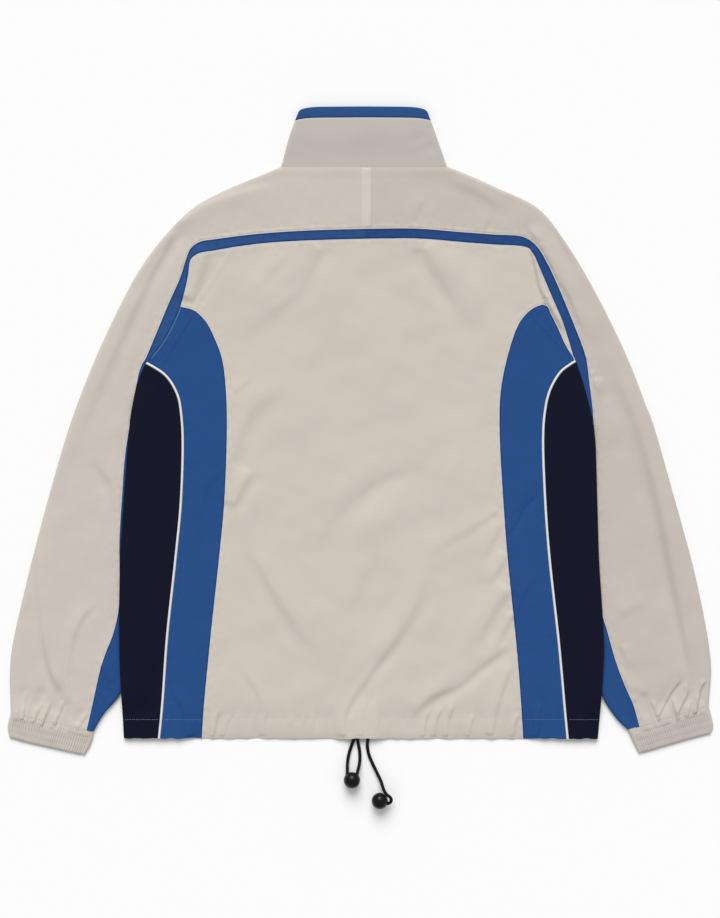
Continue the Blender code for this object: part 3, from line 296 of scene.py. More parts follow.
# Drawcords: points of the route, in order from the hem. A point's z is the cord's middle.
CordPoint = namedtuple("CordPoint", "x y z")
BALLS = {"left": CordPoint(-10.4, -49.4, 10), "right": CordPoint(23.6, -74.6, 10)}
CORDS = {
    "left": [
        CordPoint(-7.8, 6, 3.95), CordPoint(-8.2, -0.5, 3.85), CordPoint(-10.6, -7, 2.6),
        CordPoint(-13.2, -15, 2.3), CordPoint(-15.2, -24, 2.8), CordPoint(-16, -32, 4.6),
        CordPoint(-16, -39, 7.6), CordPoint(-16.2, -45, 9.6), CordPoint(-15, -50.5, 10),
        CordPoint(-11, -53.2, 10), CordPoint(-7, -51.5, 10), CordPoint(-4.8, -46.5, 9.7),
        CordPoint(-3.6, -39.5, 7.8), CordPoint(-1.6, -32, 4.6), CordPoint(-0.7, -24, 2.8),
        CordPoint(-1, -15, 2.3), CordPoint(-2.4, -7, 2.6), CordPoint(-3.4, -0.5, 3.85),
        CordPoint(-3.3, 6, 3.95),
    ],
    "right": [
        CordPoint(9.4, 6, 3.95), CordPoint(9, -0.5, 3.85), CordPoint(8.4, -9, 2.4),
        CordPoint(10.3, -19, 2.3), CordPoint(14.8, -30, 2.5), CordPoint(20.6, -42, 3.4),
        CordPoint(25.4, -52, 6.2), CordPoint(28.4, -61, 10.6), CordPoint(31.8, -66.2, 13.6),
        CordPoint(35.6, -69, 14.2), CordPoint(37.6, -73, 12.8), CordPoint(35.4, -77, 10.8),
        CordPoint(31, -78, 10), CordPoint(25.5, -76.5, 10),
    ],
}
# Zip slider, measured from the axis of its pull.
SLIDER_Y = 757.0
SLIDER_BACK = -4.5


# ---------------------------------------------------------------- lines and patches


def ease(t):
    t = np.clip(t, 0, 1)
    return t * t * (3 - 2 * t)


def between(value, low, high):
    """Changes smoothly from 0 where the value is low to 1 where it is high."""
    return ease((value - low) / (high - low))


def bell(distance, width):
    """1 at no distance, and near 0 beyond two widths."""
    return np.exp(-((distance / width) ** 2))


def quarter_round(distance, reach):
    """0 at no distance, rising in a quarter round to 1 at this reach."""
    return np.sqrt(1 - (1 - np.clip(distance / reach, 0, 1)) ** 2)


def unit_rows(vectors):
    return vectors / np.linalg.norm(vectors, axis=1)[:, None]


def doubled_area(xy):
    """Twice the area inside these corners, below zero if they run clockwise."""
    after = np.roll(xy, -1, axis=0)
    return (xy[:, 0] * after[:, 1] - xy[:, 1] * after[:, 0]).sum()


def smooth_line(knots, steps=16):
    """Points on a smooth curve through the knots, and the index of each knot among them."""
    knots = np.asarray(knots, float)
    gaps = np.sqrt(np.linalg.norm(np.diff(knots, axis=0), axis=1))
    slopes = np.diff(knots, axis=0) / gaps[:, None]
    inner = (slopes[:-1] * gaps[1:, None] + slopes[1:] * gaps[:-1, None]) / (gaps[:-1] + gaps[1:])[:, None]
    tangents = np.vstack([slopes[:1], inner, slopes[-1:]])
    t = np.linspace(0, 1, steps, endpoint=False)[:, None]
    curve = []
    for i, gap in enumerate(gaps):
        curve.append(
            (2 * t**3 - 3 * t**2 + 1) * knots[i]
            + (t**3 - 2 * t**2 + t) * gap * tangents[i]
            + (3 * t**2 - 2 * t**3) * knots[i + 1]
            + (t**3 - t**2) * gap * tangents[i + 1]
        )
    return np.vstack(curve + [knots[-1:]]), np.arange(len(knots)) * steps


def at_lengths(points, lengths):
    """The points at these lengths along a polyline."""
    steps = np.linalg.norm(np.diff(points, axis=0), axis=1)
    along = np.concatenate([[0], np.cumsum(steps)])
    return np.stack([np.interp(lengths, along, points[:, i]) for i in range(points.shape[1])], axis=1)


def length_of(points):
    return float(np.linalg.norm(np.diff(points, axis=0), axis=1).sum())


def chain(*lines):
    """Lines that meet end to end, as one."""
    return np.vstack([lines[0]] + [line[1:] for line in lines[1:]])


def ruled(first, second, across):
    """Rows of points from one line to another, at these shares of the way."""
    share = np.asarray(across, float)[None, :, None]
    return first[:, None, :] * (1 - share) + second[:, None, :] * share


def distance_to(x, y, lines):
    """Distance of each point to the nearest of these lines."""
    points = np.stack([np.ravel(x), np.ravel(y)], axis=1)
    nearest = np.full(len(points), np.inf)
    for line in lines:
        for a, b in zip(line[:-1], line[1:]):
            along = b - a
            share = np.clip((points - a) @ along / max(along @ along, 1e-9), 0, 1)
            gap = np.linalg.norm(points - a - share[:, None] * along, axis=1)
            nearest = np.minimum(nearest, gap)
    return nearest.reshape(np.shape(x))


# ---------------------------------------------------------------- the lines of each side


def offset_curve(curve, distance):
    steps = np.gradient(curve, axis=0)
    normal = np.column_stack([-steps[:, 1], steps[:, 0]])
    return curve + distance * normal / np.linalg.norm(normal, axis=1)[:, None]


def curve_of(table):
    """A whole line as one dense curve."""
    return smooth_line([point for stretch in table for point in stretch])[0]


def stretches(table):
    """Each stretch of a line as a dense curve."""
    curve, index = smooth_line([point for stretch in table for point in stretch])
    ends = index[np.cumsum([len(stretch) for stretch in table]) - 1]
    return [curve[low : high + 1] for low, high in zip([0, *ends[:-1]], ends)]


def side_lines(name):
    """Every seam and fold of one side."""
    table = SIDES[name]
    line = {"sign": table["sign"]}
    line["top"], line["base"] = stretches(table["stripe_top"]), stretches(table["stripe_base"])
    line["outline"], line["side_fold"] = stretches(table["outline"]), stretches(table["side_fold"])
    for key in ("side_seam", "sleeve_fold", "raglan"):
        line[key] = curve_of(table[key])
    outer, inner = line["outline"][-1][-1], line["sleeve_fold"][-1]
    end = tuple(outer + table["under_seam_end"] * (inner - outer))
    line["under_seam"] = smooth_line(table["under_seam"][0] + [end])[0]
    middle = curve_of(table["piping"])
    shift = line["sign"] * PIPING_WIDTH / 2
    for key, distance, end in (("blue", shift, 2), ("navy", -shift, 3)):
        edge = offset_curve(middle, distance)
        edge[-1] = line["base"][end][-1]
        edge[0, 1] = 0.0
        line[f"piping_{key}"] = edge
    line["cap"] = curve_of(table["side_back_cap"]) if "side_back_cap" in table else line["base"][2]
    neck = np.array([CENTRE_BACK_X, line["outline"][0][0][1]])
    line["centre"] = np.array([neck, line["top"][0][0]])
    return line


LINES = {name: side_lines(name) for name in SIDES}


# ---------------------------------------------------------------- heights of the cloth


def line_distance(x, y, fold, steps=20):
    """Distance of each point to a fold's curve, and where along the curve the nearest point is."""
    t = np.linspace(0, 1, steps + 1)
    start, bend, end = np.array([(fold.x0, fold.y0), (fold.x1, fold.y1), (fold.x2, fold.y2)], float)
    middle = 2 * bend - (start + end) / 2
    curve = (1 - t)[:, None] ** 2 * start + (2 * t * (1 - t))[:, None] * middle + t[:, None] ** 2 * end
    points = np.stack([np.ravel(x), np.ravel(y)], axis=1)
    best = np.full(len(points), np.inf)
    where = np.zeros(len(points))
    for n, (a, b) in enumerate(zip(curve[:-1], curve[1:])):
        along = b - a
        share = np.clip((points - a) @ along / (along @ along), 0, 1)
        gap = np.linalg.norm(points - a - share[:, None] * along, axis=1)
        closer = gap < best
        best[closer] = gap[closer]
        where[closer] = (n + share[closer]) / steps
    return best.reshape(np.shape(x)), where.reshape(np.shape(x))


FOLD_END = 0.25  # how much of its height a fold keeps at its ends
FOLD_FADE = 0.3  # the share of it over which it rises from there


def fold_relief(x, y, folds):
    """Ridges and troughs, each strongest in its middle and dying away towards its ends."""
    relief = np.zeros(np.shape(x))
    for fold in folds:
        gap, where = line_distance(x, y, fold)
        ends = ease(where / FOLD_FADE) * ease((1 - where) / FOLD_FADE)
        relief += fold.height * bell(gap, fold.width) * (FOLD_END + (1 - FOLD_END) * ends)
    return relief


def hem_relief(x, y):
    """The cloth rounds down to its hem, which the drawcord gathers."""
    gathers = np.zeros(np.shape(x))
    for gather in HEM_GATHERS:
        gathers += gather.height * bell(x - gather.x, gather.width) * (1 - ease(y / gather.reach))
    rise, full, end, gone = HEM_OPEN_X
    held = between(x, rise, full) * between(x, gone, end)
    inner = 1 - between(np.abs(x), *HEM_FALL_X)
    step = HEM_STEP * bell(np.clip(y - HEM_STITCH, 0, None), HEM_STEP_RUN)
    dent = HEM_DENT * bell(y - HEM_STITCH, HEM_DENT_WIDTH)
    fall = (HEM_FALL * np.exp(-y / HEM_RUN) + step) * inner + dent
    lump = HEM_OPEN * (1 - between(y, *HEM_OPEN_Y)) - HEM_ROLL * bell(y, HEM_ROLL_WIDTH)
    return gathers * HEM_GATHER_SHARE * (1 - held) - fall * (1 - held) + held * lump


def fold_x(line, y):
    """Where the sleeve's inner fold lies at this height, or the body's above the armpit."""
    path = np.vstack([line["side_fold"][0][-1:], line["sleeve_fold"]])
    order = np.argsort(path[:, 1])
    return np.interp(y, path[order, 1], path[order, 0])


def body_lift(x, y):
    """How far the body rises over the sleeves tucked under its sides."""
    total = np.zeros(np.shape(x))
    for name, line in LINES.items():
        start, full = SIDES[name]["rise"]
        inwards = (fold_x(line, y) - x) * line["sign"]
        across = 1 - ease((inwards - 2) / TUCK_RUN)
        along = between(y, start, full) * between(y, *HEM_FADE)
        total += TUCK_LIFT * across * along
    return total


def zip_lift(x, y):
    """How far the zip's slider and pull hold the front up."""
    return ZIP_RISE * bell(x - ZIP_X, ZIP_RISE_WIDTH) * between(y, *ZIP_RISE_Y)


def curl(x, y, rims):
    """0 on a folded edge, rising in a quarter round to 1 inside it."""
    return quarter_round(distance_to(x, y, rims), RIM) if rims else np.ones(np.shape(x))


def upper_top(relief, lift, rims):
    """The top of a piece of the upper layer, which comes down to its folded edges."""

    def top(x, y):
        edge = FLAT_HEIGHT / 2 + lift(x, y) + SEAM_GAP / 2 + RIM_EDGE
        full = FLAT_HEIGHT + lift(x, y) + relief(x, y)
        return edge + (full - edge) * curl(x, y, rims)

    return top


def lower_underside(lift, rims):
    """The underside of a piece of the lower layer, which lies on the surface and comes up to its edges."""

    def underside(x, y):
        rim = FLAT_HEIGHT / 2 - SEAM_GAP / 2 - RIM_EDGE
        return lift(x, y) + rim * (1 - curl(x, y, rims))

    return underside


def no_lift(x, y):
    return np.zeros(np.shape(x))


def body_relief(x, y):
    return fold_relief(x, y, BODY_FOLDS) + hem_relief(x, y)


def sleeve_relief(x, y):
    """Folds of yoke and sleeve, which die away where the sleeve goes under the body."""
    clear = np.ones(np.shape(x))
    for name, line in LINES.items():
        path = line["side_fold"][0]
        edge = np.interp(y, path[:, 1], path[:, 0])
        outside = (x - edge) * line["sign"]
        below = y < SIDES[name]["rise"][0]
        mine = (np.sign(x) == line["sign"]) & below
        clear = np.where(mine, ease((outside - 2) / 14), clear)
    return fold_relief(x, y, SLEEVE_FOLDS) * clear


# ---------------------------------------------------------------- meshes


def to_world(x, y, z):
    return ((x - MIDDLE_X) / 1000, (y - MIDDLE_Y) / 1000, z / 1000)


class Plan:
    """The outline of a piece seen from above, as a mesh of welded points."""

    def __init__(self):
        self.points = []
        self.index = {}
        self.faces = []

    def corner(self, point):
        key = (round(float(point[0]), 3), round(float(point[1]), 3))
        if key not in self.index:
            self.index[key] = len(self.points)
            self.points.append(key)
        return self.index[key]

    def face(self, *points):
        corners = []
        for point in points:
            corner = self.corner(point)
            if corner not in corners:
                corners.append(corner)
        if len(corners) < 3:
            return
        area = doubled_area(np.array([self.points[corner] for corner in corners]))
        self.faces.append(corners if area > 0 else corners[::-1])

    def grid(self, rows):
        for low, high in zip(rows[:-1], rows[1:]):
            for i in range(len(low) - 1):
                self.face(low[i], low[i + 1], high[i + 1], high[i])
        return self

    def rim(self):
        """Each corner's neighbours along the outline: {corner: (before, after)}."""
        sides = {(a, b) for face in self.faces for a, b in zip(face, face[1:] + face[:1])}
        open_sides = [side for side in sides if side[::-1] not in sides]
        before = {b: a for a, b in open_sides}
        return {a: (before[a], b) for a, b in open_sides}

    def inset(self, distance):
        """The points, with the outline drawn in by this distance."""
        points = np.array(self.points, float)
        moved = points.copy()
        for corner, (before, after) in self.rim().items():
            first = points[corner] - points[before]
            second = points[after] - points[corner]
            normals = [np.array([-d[1], d[0]]) / np.linalg.norm(d) for d in (first, second)]
            bisector = normals[0] + normals[1]
            reach = max(1 + normals[0] @ normals[1], 0.25)
            moved[corner] += distance * bisector / reach
        return moved


def shell(name, outer, inner, closed, finish):
    """A wall between two stacks of sections, as a tube or, left open, as a tube with a slit."""
    rows, columns = len(outer), len(outer[0])
    vertices = [tuple(point) for stack in (outer, inner) for row in stack for point in row]
    offset = rows * columns
    faces = []
    wraps = columns if closed else columns - 1
    for r in range(rows - 1):
        for c in range(wraps):
            a, b = r * columns + c, r * columns + (c + 1) % columns
            faces.append([a, b, b + columns, a + columns])
            faces.append([offset + a, offset + a + columns, offset + b + columns, offset + b])
    for r in (0, rows - 1):
        for c in range(wraps):
            a, b = r * columns + c, r * columns + (c + 1) % columns
            faces.append([a, b, b + offset, a + offset] if r else [b, a, a + offset, b + offset])
    if not closed:
        for c in (0, columns - 1):
            for r in range(rows - 1):
                a, b = r * columns + c, (r + 1) * columns + c
                faces.append([a, b, b + offset, a + offset] if c else [b, a, a + offset, b + offset])
    return add_object(name, vertices, faces, finish)


def section(row, low, high, wall, flat_cells, end_cells, slit=None):
    """Outer and inner points of a flattened tube over a row of the plan.

    It runs over the top, round one end, back along the underside and round the other end. With a
    slit, it starts and ends at the slit, on the underside.
    """
    total = length_of(row)
    radius = (high - low) / 2
    middle = (high + low) / 2
    flat = np.linspace(radius, total - radius, flat_cells + 1)
    angles = np.linspace(0, math.pi, end_cells + 1)[1:-1]

    def points(reach):
        near, far = at_lengths(row, [radius, total - radius])
        out_near = (row[0] - near) / np.linalg.norm(row[0] - near)
        out_far = (row[-1] - far) / np.linalg.norm(row[-1] - far)
        top = np.column_stack([at_lengths(row, flat), np.full(len(flat), middle + reach)])
        under = top * (1, 1, 0) + (0, 0, middle - reach)
        far_end = [(*(far + out_far * reach * math.sin(a)), middle + reach * math.cos(a)) for a in angles]
        near_end = [(*(near + out_near * reach * math.sin(a)), middle - reach * math.cos(a)) for a in angles]
        if slit is None:
            return np.vstack([top, far_end, under[::-1], near_end])
        left = np.linspace(radius, slit[0], flat_cells // 2 + 1)
        right = np.linspace(slit[1], total - radius, flat_cells // 2 + 1)
        under_left, under_right = (
            np.column_stack([at_lengths(row, part), np.full(len(part), middle - reach)])
            for part in (left, right)
        )
        return np.vstack([under_right, far_end[::-1], top[::-1], near_end[::-1], under_left])

    return points(radius), points(radius - wall)


def box_corners(x, y, z):
    return [(a, b, c) for c in z for b in y for a in x]


BOX_FACES = [[0, 2, 3, 1], [4, 5, 7, 6], [0, 1, 5, 4], [2, 6, 7, 3], [0, 4, 6, 2], [1, 3, 7, 5]]


# ---------------------------------------------------------------- finer relief

# Soft unevenness of lying cloth: height and length of its bumps.
Swell = namedtuple("Swell", "height length seed")
SWELLS = (Swell(0.42, 130, 3), Swell(0.2, 58, 5), Swell(0.07, 24, 8))
FRONT_SWELLS = (Swell(0.6, 120, 41), Swell(0.25, 50, 43))
COLLAR_SWELL = Swell(0.3, 70, 51)
SEAM_SWELL = Swell(0.3, 11, 31)
SEAM_SWELL_REACH = 8.0
# Small puckers along a sewn line: how many, then the ranges of their heights, widths and reach.
Puckers = namedtuple("Puckers", "count height width reach seed")
HEM_PUCKERS = Puckers(120, (0.2, 0.8), (1.3, 2.8), (7, 24), 11)
CUFF_PUCKERS = Puckers(17, (0.35, 1.1), (2.2, 4.2), (16, 52), 21)
PUCKER_SPREAD = (0.1, 0.9)  # where in its own stretch of the line a pucker may lie
PUCKER_LEAN = 0.18
FELL_WIDTH = 6.5  # the flat-felled armhole seam, between its two rows of stitches
FELL_HEIGHT = 0.28
FELL_EDGE = 0.4  # on both sides of the band's edge, where its fall begins and the groove lies
FELL_FALL = 1.4
FELL_GROOVE = 0.3  # just outside the band
FELL_GROOVE_WIDTH = 0.9
# Armhole seams: straight enough to need only their ends and a middle point.
FELL_SEAMS = {
    "left": [(-157, 598), (-201, 529), (-243, 459)],
    "right": [(205, 526), (228, 500), (250, 476)],
}


def waves(x, y, length, seed, count=7):
    """A smooth unevenness of about this wavelength, mostly between -1 and 1."""
    random = np.random.default_rng(seed)
    total = np.zeros(np.shape(x))
    for _ in range(count):
        heading = random.uniform(0, math.tau)
        turns = math.tau / (length * random.uniform(0.75, 1.35))
        total += np.cos(turns * (x * math.cos(heading) + y * math.sin(heading)) + random.uniform(0, math.tau))
    return total / math.sqrt(count)


def swells(x, y, table=SWELLS):
    return sum(swell.height * waves(x, y, swell.length, swell.seed) for swell in table)


def puckers(along, away, total, settings):
    """Short folds across a sewn line of this total length, which fade out with distance from it."""
    random = np.random.default_rng(settings.seed)
    relief = np.zeros(np.shape(along))
    for n in range(settings.count):
        place = total * (n + random.uniform(*PUCKER_SPREAD)) / settings.count
        height = random.uniform(*settings.height) * random.choice((1, 1, -1))
        width = random.uniform(*settings.width)
        reach = random.uniform(*settings.reach)
        lean = random.uniform(-PUCKER_LEAN, PUCKER_LEAN)
        near = np.abs(along - place - lean * away) < 3 * width
        shape = bell(along[near] - place - lean * away[near], width)
        relief[near] += height * shape * (1 - ease(np.abs(away[near]) / reach))
    return relief


# A line along which the cloth steps down: width at its start and end, depth, the side that stands
# higher (1 left of the line, -1 right), and the share of the line over which it fades in and out.
Crease = namedtuple("Crease", "start end depth wall fade line")
INTO_SEAM = (0.3, 0.02)  # of a short crease, which is still full where it meets the hem or the cuff
BODY_CREASES = [
    # down from the yoke seam
    Crease(9, 18, 1.8, 1, (0.05, 0.6), [(75, 603), (91, 572), (112, 536), (140, 499), (165, 464)]),
    Crease(10, 14, 1.9, -1, (0.05, 0.4), [(-43, 603), (-57, 576), (-76, 545), (-111, 517), (-147, 487)]),
    Crease(6, 9, 0.7, -1, (0.1, 0.4), [(-90, 591), (-117, 560), (-135, 536)]),
    # beside the left side seam
    Crease(6, 3.5, 0.7, -1, (0.4, 0.1), [(-131, 441), (-142, 432), (-154, 423)]),
    Crease(15, 10, 2.6, -1, (0.3, 0.3), [(-92, 430), (-130, 398), (-152, 345), (-155, 310)]),
    Crease(9, 8, 2.4, -1, (0.2, 0.2), [(-130, 329), (-144, 304), (-156, 279)]),
    # across the middle, and down to the hem
    Crease(11, 15, 2.0, -1, (0.4, 0.4),
           [(95, 325), (60, 330), (25, 317), (-12, 289), (-38, 260), (-56, 228)]),
    Crease(4, 9, 0.9, -1, (0.05, 0.45), [(170, 279), (134, 255), (91, 230), (79, 212)]),
    Crease(12, 3.5, 2.1, -1, (0.25, 0.02),
           [(84, 222), (73, 172), (46, 124), (12, 78), (-11, 45), (-18, 26), (-18, 2)]),
    Crease(8, 13, 2.3, 1, (0.2, 0.4), [(-137, 236), (-112, 188), (-82, 140), (-40, 90)]),
    Crease(13, 13, 1.5, -1, (0.3, 0.3), [(14, 230), (2, 190), (-16, 152)]),
    # drawn in from the right side seam
    Crease(7, 6, 2.0, -1, (0.15, 0.3), [(187, 118), (148, 88), (118, 64), (88, 51), (68, 32), (60, 10)]),
    Crease(9, 13, 2.6, -1, (0.1, 0.45), [(186, 186), (164, 156), (146, 122), (132, 92)]),
    Crease(5, 8, 1.2, -1, (0.05, 0.4), [(172, 263), (160, 237), (146, 212)]),
    Crease(6, 7, 1.6, -1, (0.05, 0.4), [(180, 226), (168, 204), (152, 186)]),
    Crease(5, 7, 1.6, -1, (0.05, 0.4), [(188, 152), (174, 128), (160, 102)]),
    Crease(4.5, 3, 1.5, -1, (0.1, 0.02), [(185, 90), (170, 47), (161, 4)]),
    # short ones above the hem
    Crease(5, 3, 1.2, 1, INTO_SEAM, [(-147, 90), (-123, 47), (-124, 4)]),
    Crease(3.5, 2.6, 1.0, -1, INTO_SEAM, [(14, 59), (6, 35), (3, 4)]),
    Crease(2.6, 1.9, 1.4, -1, INTO_SEAM, [(-170, 38), (-176, 20), (-179, 3)]),
    Crease(2.6, 1.9, 1.2, -1, INTO_SEAM, [(-159, 30), (-164, 16), (-167, 3)]),
    Crease(2.6, 1.9, 1.6, -1, INTO_SEAM, [(86, 38), (80, 18), (78, 3)]),
    Crease(2.6, 1.9, 1.5, -1, INTO_SEAM, [(102, 42), (93, 20), (92, 3)]),
    Crease(2.6, 1.9, 1.7, -1, INTO_SEAM, [(116, 46), (108, 22), (106, 3)]),
    Crease(2.6, 1.9, 1.3, -1, INTO_SEAM, [(141, 32), (135, 16), (133, 3)]),
    Crease(2.6, 1.9, 1.3, -1, INTO_SEAM, [(194, 32), (189, 16), (187, 3)]),
    # on the blue side backs
    Crease(3, 4, 1.3, -1, (0.15, 0.1), [(217, 300), (201, 284), (192, 266), (181, 250)]),
    Crease(3, 2.5, 1.6, -1, INTO_SEAM, [(222, 50), (219, 24), (217, 3)]),
    Crease(6, 3, 1.6, 1, INTO_SEAM, [(-232, 62), (-216, 32), (-212, 3)]),
    Crease(7, 5, 0.9, -1, (0.3, 0.2), [(222, 205), (196, 170), (188, 140)]),
    Crease(6, 8, 0.8, -1, (0.2, 0.3), [(-172, 330), (-188, 300), (-196, 262)]),
    # the hollows before the armholes
    Crease(11, 10, 3.2, -1, (0.1, 0.1), [(-182, 600), (-191, 575), (-199, 552), (-206, 532)]),
    Crease(3.0, 2.6, 3.6, 1, (0.04, 0.2),
           [(208, 600), (213, 576), (219, 550), (229, 531), (240, 512), (250, 490)]),
]
SLEEVE_CREASES = [
    # along the left shoulder and down the sleeve
    Crease(9, 6, 1.7, 1, (0.3, 0.15), [(-90, 681), (-147, 669), (-196, 650), (-229, 624)]),
    Crease(7, 13, 2.3, -1, (0.05, 0.6), [(-222, 625), (-261, 553), (-309, 449), (-349, 350), (-372, 280)]),
    Crease(12, 5, 3.0, 1, (0.4, 0.15), [(-377, 296), (-393, 236), (-391, 151), (-379, 84), (-361, 44)]),
    Crease(7, 8, 1.5, 1, (0.3, 0.3), [(-338, 346), (-310, 318), (-298, 270), (-296, 214)]),
    Crease(5, 6, 1.3, -1, (0.2, 0.1), [(-316, 169), (-337, 150), (-352, 113), (-355, 80), (-353, 41)]),
    # down the right shoulder and sleeve
    Crease(6, 7, 2.6, 1, (0.1, 0.3), [(203, 626), (220, 600), (234, 576), (258, 530), (279, 478)]),
    Crease(4, 6, 1.3, 1, (0.2, 0.4), [(233, 630), (248, 604), (258, 580)]),
    Crease(3, 5, 1.6, 1, (0.1, 0.4), [(280, 450), (285, 433), (291, 417)]),
    Crease(13, 7, 3.2, 1, (0.3, 0.12),
           [(280, 510), (327, 405), (358, 304), (378, 206), (397, 112), (404, 66)]),
    Crease(6, 8, 0.7, -1, (0.2, 0.3), [(350, 163), (330, 158), (312, 146)]),
    Crease(4, 6, 1.2, 1, (0.2, 0.3), [(316, 116), (322, 101), (328, 84)]),
    # on the yoke
    Crease(9, 8, 1.2, 1, (0.3, 0.3), [(98, 685), (140, 668), (180, 640)]),
    Crease(5, 5, 0.6, -1, (0.3, 0.3), [(82, 662), (72, 648), (66, 632)]),
    Crease(4, 4, 0.6, -1, (0.3, 0.2), [(160, 640), (155, 630), (149, 619)]),
    # drawn into the left cuff
    Crease(2.4, 1.7, 1.5, -1, INTO_SEAM, [(-404, 62), (-409, 44), (-411, 26)]),
    Crease(2.2, 1.6, 1.3, -1, INTO_SEAM, [(-386, 44), (-394, 32), (-398, 22)]),
    Crease(2.2, 1.6, 1.5, -1, INTO_SEAM, [(-377, 47), (-382, 32), (-389, 18)]),
    Crease(2.2, 1.6, 1.9, -1, INTO_SEAM, [(-361, 48), (-366, 34), (-372, 19)]),
    Crease(2.2, 1.6, 1.3, -1, INTO_SEAM, [(-333, 32), (-338, 23), (-344, 13)]),
    # drawn into the right cuff
    Crease(2.3, 1.7, 1.6, -1, (0.1, 0.02), [(392, 72), (381, 58), (373, 44), (364, 27)]),
    Crease(2.2, 1.6, 1.6, 1, INTO_SEAM, [(379, 52), (383, 38), (387, 26)]),
    Crease(2.2, 1.6, 1.8, -1, (0.2, 0.02), [(398, 72), (400, 56), (394, 44), (388, 31)]),
    Crease(2.2, 1.6, 1.5, -1, INTO_SEAM, [(406, 48), (402, 39), (399, 29)]),
    Crease(2.2, 1.6, 1.6, -1, INTO_SEAM, [(415, 56), (411, 44), (409, 33)]),
    Crease(2.3, 1.7, 1.9, -1, (0.2, 0.02), [(423, 74), (415, 58), (411, 34)]),
    Crease(2.2, 1.6, 1.4, 1, INTO_SEAM, [(354, 48), (359, 36), (363, 23)]),
    Crease(5, 4, 0.8, 1, (0.2, 0.2), [(322, 64), (336, 60), (350, 52)]),
    # on the blue under-sleeves
    Crease(3, 3.5, 1.3, 1, (0.2, 0.2), [(-319, 96), (-313, 80), (-306, 66)]),
    Crease(3, 3, 1.3, 1, (0.2, 0.2), [(-317, 56), (-311, 46), (-308, 33)]),
    Crease(3, 3.5, 1.2, 1, (0.2, 0.2), [(316, 84), (324, 64), (330, 42)]),
]
# In widths of the crease: how far the cloth stays raised beside it, and the groove at its foot.
RAISED_RUN = 2.5
STEEPNESS = 2.2
GROOVE = 0.3
GROOVE_AT = 0.9
GROOVE_WIDTH = 0.8
CREASE_REACH = 7


def beside(x, y, curve):
    """Signed distance to a curve, positive to its left, and the share along it of the nearest point."""
    nearest = np.full(np.shape(x), np.inf)
    signed, share = np.zeros(np.shape(x)), np.zeros(np.shape(x))
    total, start = length_of(curve), 0.0
    for a, b in zip(curve[:-1], curve[1:]):
        step = b - a
        length = np.hypot(*step)
        t = np.clip(((x - a[0]) * step[0] + (y - a[1]) * step[1]) / length**2, 0, 1)
        dx, dy = x - a[0] - t * step[0], y - a[1] - t * step[1]
        gap = np.hypot(dx, dy)
        closer = gap < nearest
        nearest[closer] = gap[closer]
        signed[closer] = (gap * np.sign(step[0] * dy - step[1] * dx))[closer]
        share[closer] = (start + t[closer] * length) / total
        start += length
    return signed, share


def crease_relief(x, y, creases):
    relief = np.zeros(np.shape(x))
    for crease in creases:
        curve = coarse(smooth_line(crease.line)[0], 3.0)
        reach = CREASE_REACH * max(crease.start, crease.end)
        low, high = curve.min(axis=0) - reach, curve.max(axis=0) + reach
        near = (x > low[0]) & (x < high[0]) & (y > low[1]) & (y < high[1])
        if not near.any():
            continue
        away, share = beside(x[near], y[near], curve)
        width = crease.start + (crease.end - crease.start) * share
        away = away * crease.wall / width
        raised = 0.5 * (1 + np.tanh(STEEPNESS * away)) * bell(np.clip(away, 0, None), RAISED_RUN)
        shape = raised - GROOVE * bell(away + GROOVE_AT, GROOVE_WIDTH)
        fade = ease(share / crease.fade[0]) * ease((1 - share) / crease.fade[1])
        relief[near] += crease.depth * fade * shape
    return relief


NECK_RIDGE = 0.55  # the allowance under the collar's seam: its height, place and half width
NECK_RIDGE_AT = 6.0
NECK_RIDGE_WIDTH = 5.5
CUFF_RISE = 0.5
CUFF_RUN = 24


def neck_line():
    return np.array([LINES["left"]["outline"][0][0], LINES["right"]["outline"][0][0]])


def cuff_line(line):
    return np.array([line["outline"][-1][-1], line["sleeve_fold"][-1]])


def joint_rise(x, y):
    """Cloth comes up a little beside the seams of collar and cuffs."""
    neck = NECK_RIDGE * bell(distance_to(x, y, [neck_line()]) - NECK_RIDGE_AT, NECK_RIDGE_WIDTH)
    cuffs = [cuff_line(line) for line in LINES.values()]
    return neck + CUFF_RISE * (1 - ease(distance_to(x, y, cuffs) / CUFF_RUN))


def hem_puckers(x, y):
    away = np.where(y < HEM_STITCH, (HEM_STITCH - y) * 0.8, y - HEM_STITCH)
    start = LINES["left"]["side_fold"][0][0, 0]
    total = LINES["right"]["side_fold"][0][0, 0] - start
    return puckers(x - start, away, total, HEM_PUCKERS)


def cuff_puckers(x, y):
    relief = np.zeros(np.shape(x))
    for line in LINES.values():
        outer, inner = line["outline"][-1][-1], line["sleeve_fold"][-1]
        along = inner - outer
        total = np.linalg.norm(along)
        along = along / total
        across = np.array([-along[1], along[0]]) * line["sign"] * -1
        s = (x - outer[0]) * along[0] + (y - outer[1]) * along[1]
        t = (x - outer[0]) * across[0] + (y - outer[1]) * across[1]
        t = t if across[1] > 0 else -t
        settings = CUFF_PUCKERS._replace(seed=CUFF_PUCKERS.seed + line["sign"])
        near = (s > -20) & (s < total + 20) & (t > -5) & (t < 70)
        part = np.zeros(np.shape(x))
        part[near] = puckers(s[near], np.clip(t[near], 0, None), total, settings)
        relief += part
    return relief


def fell_relief(x, y):
    """The raised band of each armhole seam, between its rows of stitches."""
    relief = np.zeros(np.shape(x))
    for knots in FELL_SEAMS.values():
        curve, _ = smooth_line(knots)
        gap = distance_to(x, y, [curve[::4]])
        relief += FELL_HEIGHT * (1 - ease((gap - FELL_WIDTH / 2 + FELL_EDGE) / FELL_FALL))
        relief -= FELL_GROOVE * bell(gap - FELL_WIDTH / 2 - FELL_EDGE, FELL_GROOVE_WIDTH)
    return relief


